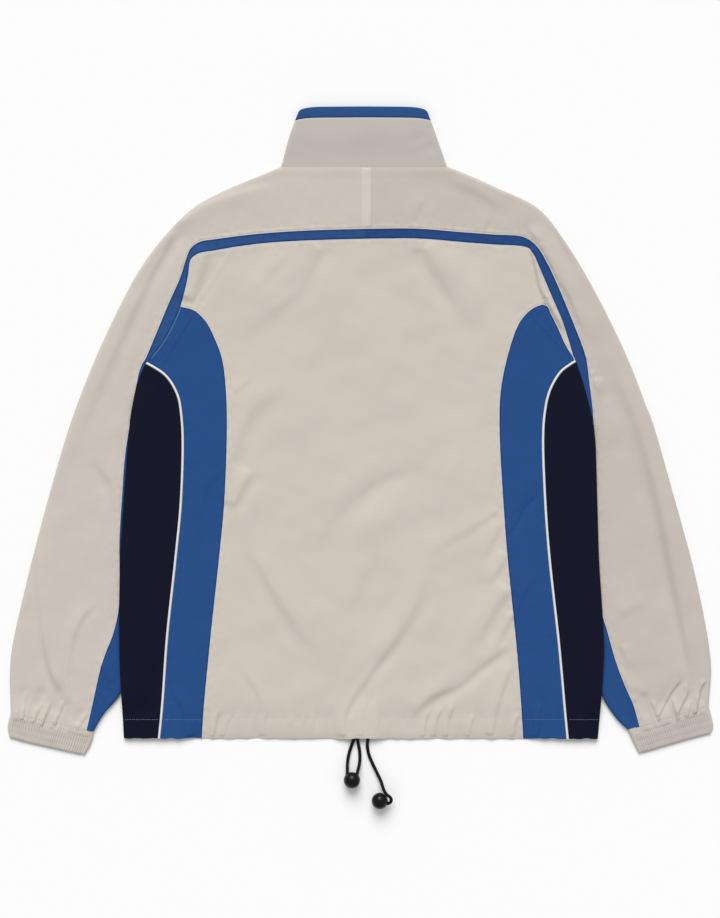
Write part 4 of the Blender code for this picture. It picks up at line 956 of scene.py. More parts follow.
def fine_body_relief(x, y):
    broad = body_relief(x, y) + crease_relief(x, y, BODY_CREASES)
    return broad + swells(x, y) + hem_puckers(x, y) + fell_relief(x, y)


def fine_sleeve_relief(x, y):
    broad = sleeve_relief(x, y) + crease_relief(x, y, SLEEVE_CREASES)
    return broad + swells(x, y) + cuff_puckers(x, y) + joint_rise(x, y)


class Surface:
    """The top of one piece of the upper layer, with its folded edges and its seams."""

    def __init__(self, relief, lift, rims=(), seams=(), flush=(), lip=SEAM_LIP, drop=SEAM_DROP):
        self.base = upper_top(relief, lift, list(rims))
        self.seams = [coarse(seam) for seam in seams]
        self.flush = [coarse(seam) for seam in flush]
        self.lip = lip
        self.drop = drop

    def __call__(self, x, y):
        height = self.base(x, y)
        if not self.seams:
            return height
        gap = distance_to(x, y, self.seams)
        height = height - self.drop * (1 - quarter_round(gap, SEAM_ROUND))
        if self.flush:
            height = height - FLUSH_DROP * (1 - quarter_round(distance_to(x, y, self.flush), FLUSH_ROUND))
        height += self.lip * bell(gap - SEAM_LIP_AT, SEAM_LIP_WIDTH)
        return height + swells(x, y, [SEAM_SWELL]) * np.exp(-gap / SEAM_SWELL_REACH)


def coarse(curve, step=5.0):
    """A curve with points about this far apart, enough to measure distances from."""
    return at_lengths(curve, np.linspace(0, length_of(curve), max(2, round(length_of(curve) / step) + 1)))


# ---------------------------------------------------------------- grids


def marks(total, step, ends=(True, True)):
    """Shares along a line of this length: even steps, with closer ones beside a seam."""
    start = [0.0, *SEAM_ROWS] if ends[0] else [0.0]
    finish = [total, *(total - row for row in SEAM_ROWS)] if ends[1] else [total]
    low, high = start[-1], finish[-1]
    middle = np.linspace(low, high, max(2, round((high - low) / step)) + 1)[1:-1]
    return np.array([*start, *middle, *finish[::-1]]) / total


def hem_marks(total, ends=True):
    """Shares up a line from the hem, close together over its gathers and at a seam on top."""
    close = [0.0, *SEAM_ROWS, *np.arange(3.6, HEM_FINE, 1.6)]
    finish = [total, *(total - row for row in SEAM_ROWS)] if ends else [total]
    open_rows = np.linspace(HEM_FINE, finish[-1], round((finish[-1] - HEM_FINE) / BODY_ROW) + 1)[:-1]
    return np.array([*close, *open_rows, *finish[::-1]]) / total


def at_shares(curve, shares):
    return at_lengths(curve, np.asarray(shares) * length_of(curve))


def patch(left, right, bottom, top, up, across):
    """Rows of points inside four curves, at these shares up them and across."""
    left, right = at_shares(left, up), at_shares(right, up)
    return patch_rows(left, right, at_shares(bottom, across), at_shares(top, across), up, across)


def patch_rows(left, right, bottom, top, up, across):
    """As patch, from sides and ends that are cut at these shares already."""
    v, u = np.asarray(up)[:, None, None], np.asarray(across)[None, :, None]
    sides = (1 - u) * left[:, None] + u * right[:, None]
    ends = (1 - v) * bottom[None] + v * top[None]
    corners = (1 - v) * ((1 - u) * bottom[0] + u * bottom[-1]) + v * ((1 - u) * top[0] + u * top[-1])
    return sides + ends - corners


def joined_shares(stretch_shares, lengths):
    """Shares along a chain of stretches, from the shares along each."""
    total, start, found = sum(lengths), 0.0, [0.0]
    for shares, length in zip(stretch_shares, lengths):
        found += [(start + share * length) / total for share in shares[1:]]
        start += length
    return np.array(found)


def scalloped(points):
    """Draws the hem's edge up a little between its gathers."""
    points = np.array(points)
    along = points[:, 0]
    draw = SCALLOP * (0.5 + 0.5 * np.clip(waves(along, 0 * along, SCALLOP_LENGTH, SCALLOP_SEED), -1, 1))
    points[:, 1] += draw * (1 - ease(points[:, 1] / SCALLOP_RUN))
    return points


RIM_DEPTH = 3.0  # how far in from a fold the sheet is thicker, to meet the other layer
RIM_OVERLAP = 0.04


def sheet(name, plan, level_at, look, underside=False, rims=()):
    """A thin sheet over a plan, which meets the other layer at its rims.

    level_at gives the height of its top, or with underside that of its underside.
    """
    points = scalloped(plan.inset(SEAM_TUCK))
    x, y = points[:, 0], points[:, 1]
    level = level_at(x, y)
    thickness = SHEET
    if rims:
        meeting = RIM_EDGE + SEAM_GAP / 2 + RIM_OVERLAP
        thickness = thickness + (meeting - thickness) * bell(distance_to(x, y, rims), RIM_DEPTH)
    high, low = (level + thickness, level) if underside else (level, level - thickness)
    count = len(points)
    vertices = np.concatenate([np.column_stack([x, y, high]), np.column_stack([x, y, low])])
    faces = [list(face) for face in plan.faces]
    faces += [[corner + count for corner in reversed(face)] for face in plan.faces]
    for corner, (_, after) in plan.rim().items():
        faces.append([after, corner, corner + count, after + count])
    return add_object(name, vertices, faces, look)


def plan_area(plan):
    """Area in square metres."""
    points = np.array(plan.points)
    return sum(abs(doubled_area(points[face])) / 2 for face in plan.faces) / 1e6


# ---------------------------------------------------------------- placing the pieces

# What each piece was cut to, in metres: the smallest upright or tilted rectangle round it, measured
# on its finished mesh. A tube's width is all the way round.
Cut = namedtuple("Cut", "width length")
BODY = "jacket"


def place(piece, node, slot, area=None, held="laid", rests_on=()):
    """Hides the solid that a piece stands for and attaches the piece to the jacket."""
    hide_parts(node)
    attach(piece, BODY)


# ---------------------------------------------------------------- the cloth


# Lengths and widths of the panels, near enough to space the rows and columns of their meshes.
SIDE_SEAM_RUN, SIDE_BACK_WIDTH = 530, 75
SIDE_PANEL_RUN, SIDE_PANEL_WIDTH = 460, 60
BACK_RUNS = (SIDE_SEAM_RUN, 8, 62)  # side seam, the gap above it, and the stripe's edge
YOKE_SLEEVE_WIDTH = 140
UNDER_SLEEVE_WIDTH = 40
PIPING_RUN = 500
FRONT_RUN, FRONT_WIDTH = 700, 290
SLEEVE_FRONT_RUN, SLEEVE_FRONT_WIDTH = 790, 120
STRIP_RUN, STRIP_WIDTH = 71, 12
FINE_STEP = 2.0  # spacing on the narrow blue pieces and the piping
PANEL_STEP = 2.3
STRIPE_STEP = 2.4
STRIPE_COLUMNS = (0, 0.04, 0.1, 0.2, 0.35, 0.5, 0.65, 0.8, 0.9, 0.96, 1)  # close at its seams
STRIPE_LIP, STRIPE_DROP = 0.15, 0.8  # its ridge beside a seam, and how deep it turns down there
FOLDED_SHARES = (0, 0.01, 0.025, 0.045)  # the side panel's first columns, close at its fold


def ruled_between(first, second, along, across):
    """Rows of points from one curve to another, at the same shares of both."""
    return ruled(at_shares(first, along), at_shares(second, along), across)


def yoke_sleeve(side, line):
    tops = line["top"]
    inner = [line["centre"], chain(*tops, line["side_fold"][1][::-1]), line["under_seam"]]
    plan = Plan()
    across = marks(YOKE_SLEEVE_WIDTH, SLEEVE_COLUMN, (False, True))
    for outer_part, inner_part in zip(line["outline"], inner):
        total = max(length_of(outer_part), length_of(inner_part))
        along = np.linspace(0, 1, max(3, round(total / SLEEVE_STEP)) + 1)
        if inner_part is line["under_seam"]:
            along = (1 - hem_marks(total, False))[::-1]
        plan.grid(ruled_between(outer_part, inner_part, along, across))
    rims = [chain(*line["outline"]), line["sleeve_fold"]]
    seams = [chain(*tops), line["under_seam"]]
    flush = [neck_line(), cuff_line(line), line["centre"]]
    rims = [coarse(rim) for rim in rims]
    surface = Surface(fine_sleeve_relief, no_lift, rims, seams, flush)
    piece = sheet(f"yoke_sleeve_cloth_{side}", plan, surface, f"sleeve_cloth_{side}", rims=rims)
    place(piece, f"yoke_sleeve_{side}", "beige", plan_area(plan), rests_on=[f"sleeve_front_{side}"])
    return surface


def stripe(side, line):
    plan = Plan()
    for top, base in zip(line["top"], line["base"]):
        along = np.linspace(0, 1, max(2, round(length_of(top) / STRIPE_STEP)) + 1)
        plan.grid(ruled_between(top, base, along, STRIPE_COLUMNS))
    seams = [chain(*line["top"]), chain(*line["base"])]
    surface = Surface(fine_body_relief, body_lift, [], seams, lip=STRIPE_LIP, drop=STRIPE_DROP)
    piece = sheet(f"stripe_cloth_{side}", plan, surface, f"stripe_painted_light_{side}")
    place(piece, f"stripe_{side}", "blue", rests_on=[f"front_{side}"])
    return surface


def under_sleeve(side, line):
    along = (1 - hem_marks(length_of(line["under_seam"]), False))[::-1]
    across = marks(UNDER_SLEEVE_WIDTH, SLEEVE_COLUMN, (True, False))
    plan = Plan().grid(ruled_between(line["under_seam"], line["sleeve_fold"], along, across))
    rims = [coarse(line["sleeve_fold"])]
    surface = Surface(fine_sleeve_relief, no_lift, rims, [line["under_seam"]], [cuff_line(line)])
    piece = sheet(f"under_sleeve_cloth_{side}", plan, surface, "blue_cloth", rims=rims)
    place(piece, f"under_sleeve_{side}", "blue", plan_area(plan), rests_on=[f"sleeve_front_{side}"])
    return surface


def back(left, right):
    half = [length_of(line["base"][0]) for line in (left, right)]
    columns = marks(sum(half), BODY_COLUMN)
    top = chain(left["base"][0][::-1], right["base"][0])
    hem = np.array([left["side_seam"][0], right["side_seam"][0]])
    seam_rows = hem_marks(SIDE_SEAM_RUN, False)
    gap_rows = np.linspace(0, 1, 5)
    stripe_rows = marks(60, BODY_STEP, (False, True))
    edges = []
    for line in (left, right):
        gap = np.array([line["cap"][0], line["base"][1][-1]])
        parts = [line["side_seam"], gap, line["base"][1][::-1]]
        rows = [at_shares(part, share) for part, share in zip(parts, (seam_rows, gap_rows, stripe_rows))]
        edges.append(chain(*rows))
    up = joined_shares([seam_rows, gap_rows, stripe_rows], BACK_RUNS)
    ends = [at_shares(end, columns) for end in (hem, top)]
    plan = Plan().grid(patch_rows(*edges, *ends, up, columns))
    seams = [top]
    for line in (left, right):
        seams += [line["side_seam"], line["base"][1]]
        if line["cap"] is not line["base"][2]:
            cap_rows = marks(SIDE_BACK_WIDTH, BODY_STEP, (False, False))
            plan.grid(ruled_between(line["cap"], line["base"][2], cap_rows, gap_rows))
            seams += [line["cap"], line["base"][2]]
    surface = Surface(fine_body_relief, body_lift, [], seams)
    piece = sheet("back_cloth", plan, surface, "back_beige")
    place(piece, "back_panel", "beige", plan_area(plan), rests_on=["front_left", "front_right"])
    return surface


def side_back(side, line):
    hem = np.array([line["piping_blue"][0], line["side_seam"][0]])
    cap = line["cap"][::-1]
    up = hem_marks(SIDE_SEAM_RUN)
    across = marks(SIDE_BACK_WIDTH, FINE_STEP)
    plan = Plan().grid(patch(line["piping_blue"], line["side_seam"], hem, cap, up, across))
    surface = Surface(fine_body_relief, body_lift, [], [line["piping_blue"], line["side_seam"], cap])
    piece = sheet(f"side_back_cloth_{side}", plan, surface, "blue_cloth")
    place(piece, f"side_back_{side}", "blue", plan_area(plan), rests_on=[f"front_{side}"])
    return surface


def side_panel(side, line):
    outer = chain(*line["side_fold"])
    hem = np.array([outer[0], line["piping_navy"][0]])
    cap = line["base"][4][::-1]
    up = hem_marks(SIDE_PANEL_RUN)
    across = marks(SIDE_PANEL_WIDTH, PANEL_STEP, (False, True))
    across = np.array([*FOLDED_SHARES, *across[across > FOLDED_SHARES[-1] + 0.015]])
    plan = Plan().grid(patch(outer, line["piping_navy"], hem, cap, up, across))
    rims = [coarse(line["side_fold"][0])]
    surface = Surface(fine_body_relief, body_lift, rims, [line["piping_navy"], cap])
    piece = sheet(f"side_panel_cloth_{side}", plan, surface, "navy_cloth", rims=rims)
    place(piece, f"side_panel_{side}", "navy", plan_area(plan), rests_on=[f"front_{side}"])
    return surface


def piping(side, line):
    """A round cord in a fold of light cloth, standing up from its seam."""
    along = marks(PIPING_RUN, FINE_STEP, (False, False))
    across = (1 - np.cos(np.linspace(0, math.pi, 11))) / 2
    plan = Plan().grid(ruled_between(line["piping_blue"], line["piping_navy"], along, across))
    middle = coarse((line["piping_blue"] + line["piping_navy"]) / 2, 3.0)
    base = upper_top(fine_body_relief, body_lift, [])

    def top(x, y):
        out = np.clip(distance_to(x, y, [middle]) / (PIPING_WIDTH / 2), 0, 1)
        return base(x, y) - PIPING_FOOT + PIPING_CREST * np.sqrt(1 - out**2)

    piece = sheet(f"piping_cord_{side}", plan, top, "piping_cloth")
    place(piece, f"piping_{side}", "piping")


FRONT_SEAM_RISE = 0.7  # how far the lower layer comes up into its seams
FRONT_HEM_RIDGE = 0.3
FRONT_HEM_WIDTH = 2.5
FRONT_HOLLOW = 1.6  # at most this far off the surface
FRONT_FOLD_SHARE = 0.6  # how much of the folds above shows in them
FRONT_EASE, SLEEVE_EASE = 20, 16  # the hollows fade out this near the outline
SLEEVE_HOLLOW_SHARE = 0.8


def front_relief(x, y):
    """Soft hollows in the cloth underneath, which rests on the surface between them."""
    hollows = swells(-x, y, FRONT_SWELLS)
    folds = FRONT_FOLD_SHARE * np.clip(-fold_relief(-x, y, BODY_FOLDS), 0, None)
    return np.clip(hollows + folds, 0, FRONT_HOLLOW)


def front(side, line):
    outer = chain(*line["side_fold"], line["raglan"])
    zip_edge = ZIP_X + line["sign"] * ZIP_WIDTH / 2
    inner = np.array([(zip_edge, 0.0), (zip_edge, outer[-1][1])])
    along = marks(FRONT_RUN, FRONT_STEP)
    across = marks(FRONT_WIDTH, FRONT_STEP, (True, True))
    plan = Plan().grid(ruled_between(outer, inner, along, across))
    rims = [coarse(line["side_fold"][0])]
    underside = lower_underside(lambda x, y: body_lift(x, y) + zip_lift(x, y), rims)
    seams = [coarse(line["raglan"]), coarse(inner)]

    def level(x, y):
        gap = distance_to(x, y, seams)
        inside = ease(distance_to(x, y, [coarse(outer)]) / FRONT_EASE)
        turn = quarter_round(gap, SEAM_ROUND)
        hem = FRONT_HEM_RIDGE * bell(y - HEM_STITCH, FRONT_HEM_WIDTH)
        return underside(x, y) + inside * front_relief(x, y) + FRONT_SEAM_RISE * (1 - turn) + hem

    piece = sheet(f"front_cloth_{side}", plan, level, "beige_cloth", underside=True, rims=rims)
    place(piece, f"front_{side}", "beige", plan_area(plan))


def sleeve_front(side, line):
    inner = chain(line["raglan"][::-1], line["side_fold"][1][::-1], line["sleeve_fold"])
    outer = chain(*line["outline"])
    along = marks(SLEEVE_FRONT_RUN, FRONT_STEP)
    upper = chain(*line["outline"][:2])
    shoulder = length_of(line["raglan"]) / length_of(inner)
    outer_split = length_of(upper) / length_of(outer)
    outer_along = np.interp(along, [0, shoulder, 1], [0, outer_split, 1])
    across = marks(SLEEVE_FRONT_WIDTH, FRONT_STEP, (True, True))
    plan = Plan().grid(ruled(at_shares(outer, outer_along), at_shares(inner, along), across))
    rims = [coarse(outer), coarse(line["sleeve_fold"])]
    underside = lower_underside(no_lift, rims)
    seams = [coarse(line["raglan"])]

    def level(x, y):
        turn = quarter_round(distance_to(x, y, seams), SEAM_ROUND)
        inside = ease(distance_to(x, y, rims) / SLEEVE_EASE)
        hollows = inside * front_relief(x, y) * SLEEVE_HOLLOW_SHARE
        return underside(x, y) + hollows + FRONT_SEAM_RISE * (1 - turn)

    piece = sheet(f"sleeve_front_cloth_{side}", plan, level, "beige_cloth", underside=True, rims=rims)
    place(piece, f"sleeve_front_{side}", "beige", plan_area(plan))


STRIP_PROUD = 0.45
STRIP_ROUND = 1.2


def back_strip():
    base = upper_top(fine_sleeve_relief, no_lift, [])
    (left, right), (low, high) = STRIP_X, STRIP_Y
    sides = [np.array([(x, low), (x, high)]) for x in STRIP_X]
    along, across = marks(STRIP_RUN, STRIPE_STEP), marks(STRIP_WIDTH, FINE_STEP)
    plan = Plan().grid(ruled_between(*sides, along, across))
    outline = [np.array([(left, low), (left, high), (right, high), (right, low), (left, low)])]

    def top(x, y):
        return base(x, y) + STRIP_PROUD * quarter_round(distance_to(x, y, outline), STRIP_ROUND)

    piece = sheet("back_strip_cloth", plan, top, "strip_cloth")
    place(piece, "back_strip", "beige", rests_on=["yoke_sleeve_left", "yoke_sleeve_right"])


# ---------------------------------------------------------------- collar and cuffs

COLLAR_FOLDS = [
    Fold(107, 716, 98, 714, 88, 705, 5, 0.8),
    Fold(110, 728, 96, 725, 76, 716, 6.5, -3.0),
    Fold(80, 753, 88, 741, 99, 728, 5, -1.0),
    Fold(84, 741, 74, 734, 62, 733, 6, -0.8),
    Fold(-84, 735, -70, 724, -52, 722, 7, -0.6),
    Fold(-20, 708, -10, 726, -14, 746, 10, 0.5),
    Fold(38, 706, 30, 724, 36, 744, 9, -0.5),
]
COLLAR_SHEET = 1.0
COLLAR_RUN = 42.0  # over this distance the collar comes up from the yoke to its own height
COLLAR_TUCK = 0.5
COLLAR_ROW = 2.4
COLLAR_DROP = 0.55  # how deep it turns down at its edges
COLLAR_ROUND = 1.2
COLLAR_CELLS = (72, 9)  # along its faces and round its ends
COLLAR_POINTS = 61  # across it, to draw its crown
COLLAR_EDGES = (0.7, 0.6)  # an extra row this near its lower and upper edge
COLLAR_CROWN_POWER = 8  # how late the crown falls off towards the ends
COLLAR_END_POWER = 10
COLLAR_FOLD_SHARE = 0.8
COLLAR_LIFT_SHARE = 0.3  # how much of the zip's lift shows on its upper face


def collar_ring(node, sections, look, slot, flush):
    """A flattened ring of cloth, open at the front for the zip."""
    table = np.array(sections, float)
    low, high = table[0, 0], table[-1, 0]
    levels = np.linspace(low, high, max(4, round((high - low) / COLLAR_ROW)) + 1)
    levels = np.unique([*levels, low + COLLAR_EDGES[0], high - COLLAR_EDGES[1]])
    outer, inner = [], []
    for level in levels:
        left, right, crown = (np.interp(level, table[:, 0], table[:, i]) for i in (1, 2, 3))
        u = np.linspace(-1, 1, COLLAR_POINTS)
        x = left + (right - left) * (u + 1) / 2
        tuck = COLLAR_TUCK if flush and level == levels[0] else 0
        plan = np.column_stack([x, level - tuck + crown * (1 - np.abs(u) ** COLLAR_CROWN_POWER)])
        start = (ZIP_X - ZIP_WIDTH / 2 - SEAM_GAP) - left
        slit = (start, start + ZIP_WIDTH + 2 * SEAM_GAP)
        rings = section(plan, 0, COLLAR_HEIGHT, COLLAR_SHEET, *COLLAR_CELLS, slit)
        edge = levels[-1] - level if flush else min(level - levels[0], levels[-1] - level)
        turn = COLLAR_DROP * (1 - quarter_round(edge, COLLAR_ROUND)) + tuck / 3
        blend = 1 - float(ease((level - levels[0]) / COLLAR_RUN)) if flush else 0.0
        for stack, ring in zip((outer, inner), rings):
            x, y, z = ring.T
            under = z < COLLAR_HEIGHT / 2
            push = np.where(under, 1.0, COLLAR_LIFT_SHARE) * zip_lift(x, y)
            inside = 1 - np.abs((x - (left + right) / 2) / ((right - left) / 2)) ** COLLAR_END_POWER
            uneven = COLLAR_FOLD_SHARE * fold_relief(x, y, COLLAR_FOLDS) + swells(x, y, [COLLAR_SWELL])
            uneven = uneven * np.clip(inside, 0, 1)
            yoke = FLAT_HEIGHT + fine_sleeve_relief(x, np.full(len(x), levels[0] - 2.0))
            drop = blend * (yoke - COLLAR_HEIGHT) * np.clip(2 * z / COLLAR_HEIGHT - 1, 0, 1)
            soft = np.where(under, 0, (1 - blend) * (push + uneven) - turn + drop)
            stack.append(ring + np.column_stack([np.zeros((len(ring), 2)), np.where(under, push, soft)]))
    piece = shell(f"{node}_cloth", outer, inner, False, look)
    soften(piece)
    place(piece, node, slot)


CUFF_RIB_COUNT = 34
CUFF_RIB_POINTS = 6
CUFF_BANDS = 4
CUFF_DEEP = 38  # nominal depth, for its rounded end and its join; as built it is about 32
CUFF_TOPS = (6.2, 3.6)  # height at its seam and at its end
CUFF_JOIN = 17.0  # over this distance it takes its height from the sleeve
CUFF_TUCK = 0.8
CUFF_DROP = 1.1  # how deep it turns down at its open end
CUFF_ROUND = 2.6
CUFF_WALL = 1.0
CUFF_CELLS = (33, 25)  # rows down its depth, and points across each
CUFF_END_CELLS = 7
CUFF_PLAN = (100, 52)  # its nominal width and depth, for the seeded waves
CUFF_FADE = 0.03  # near its two ends the ribs fade out, over this share of it
CUFF_BELOW = 0.15  # its first row lies this far below the sleeve
RIB_HEIGHT = 0.55
# How the ribs wander along the cuff: how far, in radians of a rib, and how often.
Wander = namedtuple("Wander", "far often")
RIB_WANDERS = (Wander(1.5, 2.3), Wander(0.8, 5.1))
RIB_SWAY = 0.9  # and how they sway down it, with its radians down and across
RIB_SWAY_TURNS = (3.1, 7)
RIB_SHIFT = Swell(0.2, 20, 61)
RIB_UNEVEN = Swell(0.15, 22, 63)
RIB_LEVEL = 0.9  # share of the full height that the ribs vary round
RIB_AT_ROWS = 1.1  # they are higher on a sewn row than between the rows, by the share below
RIB_ROW_SHARE = 0.3
RIB_AT_ENDS = 0.3
RIB_AT_JOIN = 0.6  # how much lower they are where the cuff joins the sleeve
UNDER_LEVEL = 0.35  # ribs underneath: their middle height, and their share of those on top
UNDER_SHARE = 0.5
ROW_HEIGHT = 0.2  # how far the cloth bulges between two sewn rows
ROW_LEVEL = 0.6
ROW_POWER = 0.7


def cuff(side, line):
    """Elastic cuff: three sewn rows gather its cloth into fine uneven ribs."""
    table = SIDES[side]
    outer_side, inner_side = curve_of(table["cuff_outer"]), curve_of(table["cuff_inner"])
    seam = np.array([outer_side[0], inner_side[0]])
    end = curve_of(table["cuff_end"])
    shares, points = (np.linspace(0, 1, count) for count in CUFF_CELLS)
    rows = patch(outer_side, inner_side, seam, end, shares, points)
    down = end[len(end) // 2] - seam.mean(axis=0)
    down = down / np.linalg.norm(down)
    cells = CUFF_RIB_COUNT * CUFF_RIB_POINTS
    s = np.linspace(0, 1, cells + 1)
    fade = ease(np.minimum(s, 1 - s) / CUFF_FADE)
    starts = (line["sign"], 2)
    wanders = [way.far * np.sin(way.often * math.tau * s + start) for way, start in zip(RIB_WANDERS, starts)]
    drift = sum(wanders)
    outer, inner = [], []
    for share, row in zip(shares, rows):
        row = row - down * CUFF_TUCK * (share == 0)
        high = CUFF_TOPS[0] + (CUFF_TOPS[1] - CUFF_TOPS[0]) * share
        rings = section(row, 0, high, CUFF_WALL, cells, CUFF_END_CELLS)
        outside = rings[0].copy()
        band = abs(math.sin(math.pi * CUFF_BANDS * share)) ** ROW_POWER
        spot = s * CUFF_PLAN[0], share * CUFF_PLAN[1] + 0 * s
        sway = RIB_SWAY * np.sin(RIB_SWAY_TURNS[0] * share + RIB_SWAY_TURNS[1] * s)
        shift = sway + swells(*spot, [RIB_SHIFT])
        rib = np.cos(math.tau * CUFF_RIB_COUNT * s + drift + shift)
        uneven = RIB_LEVEL + swells(*spot, [RIB_UNEVEN])
        held = RIB_AT_ROWS - RIB_ROW_SHARE * band
        relief = RIB_HEIGHT * rib * uneven * held + ROW_HEIGHT * (band - ROW_LEVEL)
        rim = (1 - share) * CUFF_DEEP
        relief = relief - CUFF_DROP * (1 - quarter_round(rim, CUFF_ROUND))
        join = 1 - float(ease(share * CUFF_DEEP / CUFF_JOIN))
        top = slice(0, cells + 1)
        x, y = outside[top, 0] - 2 * down[0], outside[top, 1] - 2 * down[1]
        sleeve = FLAT_HEIGHT + fine_sleeve_relief(x, y) - CUFF_BELOW * (share == 0)
        ribs = relief * (RIB_AT_ENDS + (1 - RIB_AT_ENDS) * fade) * (1 - RIB_AT_JOIN * join)
        outside[top, 2] += ribs + join * fade * (sleeve - high)
        under = slice(cells + CUFF_END_CELLS, 2 * cells + CUFF_END_CELLS + 1)
        outside[under, 2] += np.clip(UNDER_LEVEL - relief[::-1] * UNDER_SHARE, 0, 1) * fade
        outer.append(outside)
        inner.append(rings[1])
    piece = shell(f"cuff_cloth_{side}", outer, inner, True, f"cuff_cloth_{side}")
    soften(piece)
    place(piece, f"cuff_{side}", "beige", held="gathered")


SOFT_EDGE = 0.25
SOFT_ANGLE = 55


def soften(piece):
    """Rounds the cut edges of a wall."""
    rounding = piece.modifiers.new("rounding", "BEVEL")
    rounding.width = SOFT_EDGE / 1000
    rounding.segments = 2
    rounding.limit_method = "ANGLE"
    rounding.angle_limit = math.radians(SOFT_ANGLE)


# ---------------------------------------------------------------- stitching

STITCH_PITCH = 2.7
STITCH_LENGTH = 2.0
STITCH_WIDTH = 0.42
STITCH_PROUD = 0.24
STITCH_FOOT = 0.7  # how wide its underside is, as a share, and how deep it goes
STITCH_DEPTH = 0.3
# Along a stitch, how wide and how proud it is there, as shares.
STITCH_PROFILE = ((-1, 0.55, -0.1), (-0.45, 1, 0.8), (0.45, 1, 0.8), (1, 0.55, -0.1))
STRIPE_STITCH = 1.7  # from the stripe's edge to its row of stitches
SHORT_RUN = 12  # fewer points than this of a clipped seam carry no stitches
# The edging is a ribbon coloured lighter than the cloth beside it: painted highlight along the seams.
EDGING_WIDTH = 1.05
EDGING_OFFSET = 0.5
FOLD_WIDTH = 1.9  # the lighter fold where blue lies over blue, a ribbon coloured lighter as painted highlight
SHADE_OFFSET = 0.75  # the darker edge of the blue, where it turns down into its seams: a ribbon coloured darker as painted shade
EDGING_PROUD = 0.12
EDGING_LEVEL = 1.0
EDGING_STEP = 1.6
RIBBON_SHARES = (-1, -0.6, 0, 0.6, 1)  # its lines of points, in half widths
RIBBON_ROUND = 2.5  # how far its edges turn down, as a share of its rise


def stitch_line(curve, surface, store):
    """Adds a row of stitches along a curve, lying on this surface."""
    total = length_of(curve)
    count = int(total / STITCH_PITCH)
    middles = (np.arange(count) + 0.5) * total / count
    ends = [at_lengths(curve, middles + side * STITCH_LENGTH / 2) for side in (-1, 1)]
    along = unit_rows(ends[1] - ends[0])
    across = np.column_stack([-along[:, 1], along[:, 0]]) * STITCH_WIDTH / 2
    centre = (ends[0] + ends[1]) / 2
    height = surface(centre[:, 0], centre[:, 1])
    for n in range(count):
        first = len(store["points"])
        for t, wide, up in STITCH_PROFILE:
            xy = centre[n] + along[n] * t * STITCH_LENGTH / 2
            z = height[n] + up * STITCH_PROUD
            for side in (-1, 1):
                store["points"].append((*(xy + across[n] * side * wide), z))
            for side in (-1, 1):
                foot = xy + across[n] * side * wide * STITCH_FOOT
                store["points"].append((*foot, z - STITCH_DEPTH))
        for k in range(3):
            a = first + 4 * k
            b = a + 4
            store["faces"] += [[a, a + 1, b + 1, b], [a + 2, b + 2, b + 3, a + 3]]
            store["faces"] += [[a, b, b + 2, a + 2], [a + 1, a + 3, b + 3, b + 1]]
        store["faces"] += [[first, first + 2, first + 3, first + 1]]
        last = first + 12
        store["faces"] += [[last, last + 1, last + 3, last + 2]]


def clip_curve(curve, inside):
    """The longest run of points of a curve that pass a test."""
    fine = at_lengths(curve, np.arange(0, length_of(curve), 0.5))
    good = inside(fine[:, 0], fine[:, 1])
    best, run = (0, 0), 0
    for n, flag in enumerate(good):
        run = run + 1 if flag else 0
        if run > best[1] - best[0]:
            best = (n - run + 1, n + 1)
    return fine[best[0] : best[1]]


def hem_line(x0, x1):
    return np.array([(x0, HEM_STITCH), (x1, HEM_STITCH)])


def x_at(curve, y):
    order = np.argsort(curve[:, 1])
    return float(np.interp(y, curve[order, 1], curve[order, 0]))


def ribbon(curve, inward, surface, store, width=EDGING_WIDTH):
    """Adds a narrow raised edge of cloth along a curve, as high as the cloth a little further in."""
    curve = at_lengths(curve, np.linspace(0, length_of(curve), round(length_of(curve) / EDGING_STEP) + 1))
    lines = [offset_curve(curve, t * width / 2) for t in RIBBON_SHARES]
    beside_it = offset_curve(curve, inward * EDGING_LEVEL)
    level = surface(beside_it[:, 0], beside_it[:, 1])
    first = len(store["points"])
    for line, t in zip(lines, RIBBON_SHARES):
        height = level + EDGING_PROUD * (1 - RIBBON_ROUND * t**2)
        store["points"] += np.column_stack([line, height]).tolist()
    count = len(curve)
    for row in range(len(RIBBON_SHARES) - 1):
        for n in range(count - 1):
            corner = first + row * count + n
            store["faces"].append([corner, corner + 1, corner + count + 1, corner + count])


def empty_store():
    return {"points": [], "faces": []}


def add_sewn(name, store, look):
    piece = add_object(name, np.array(store["points"]), store["faces"], look)
    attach(piece, BODY)


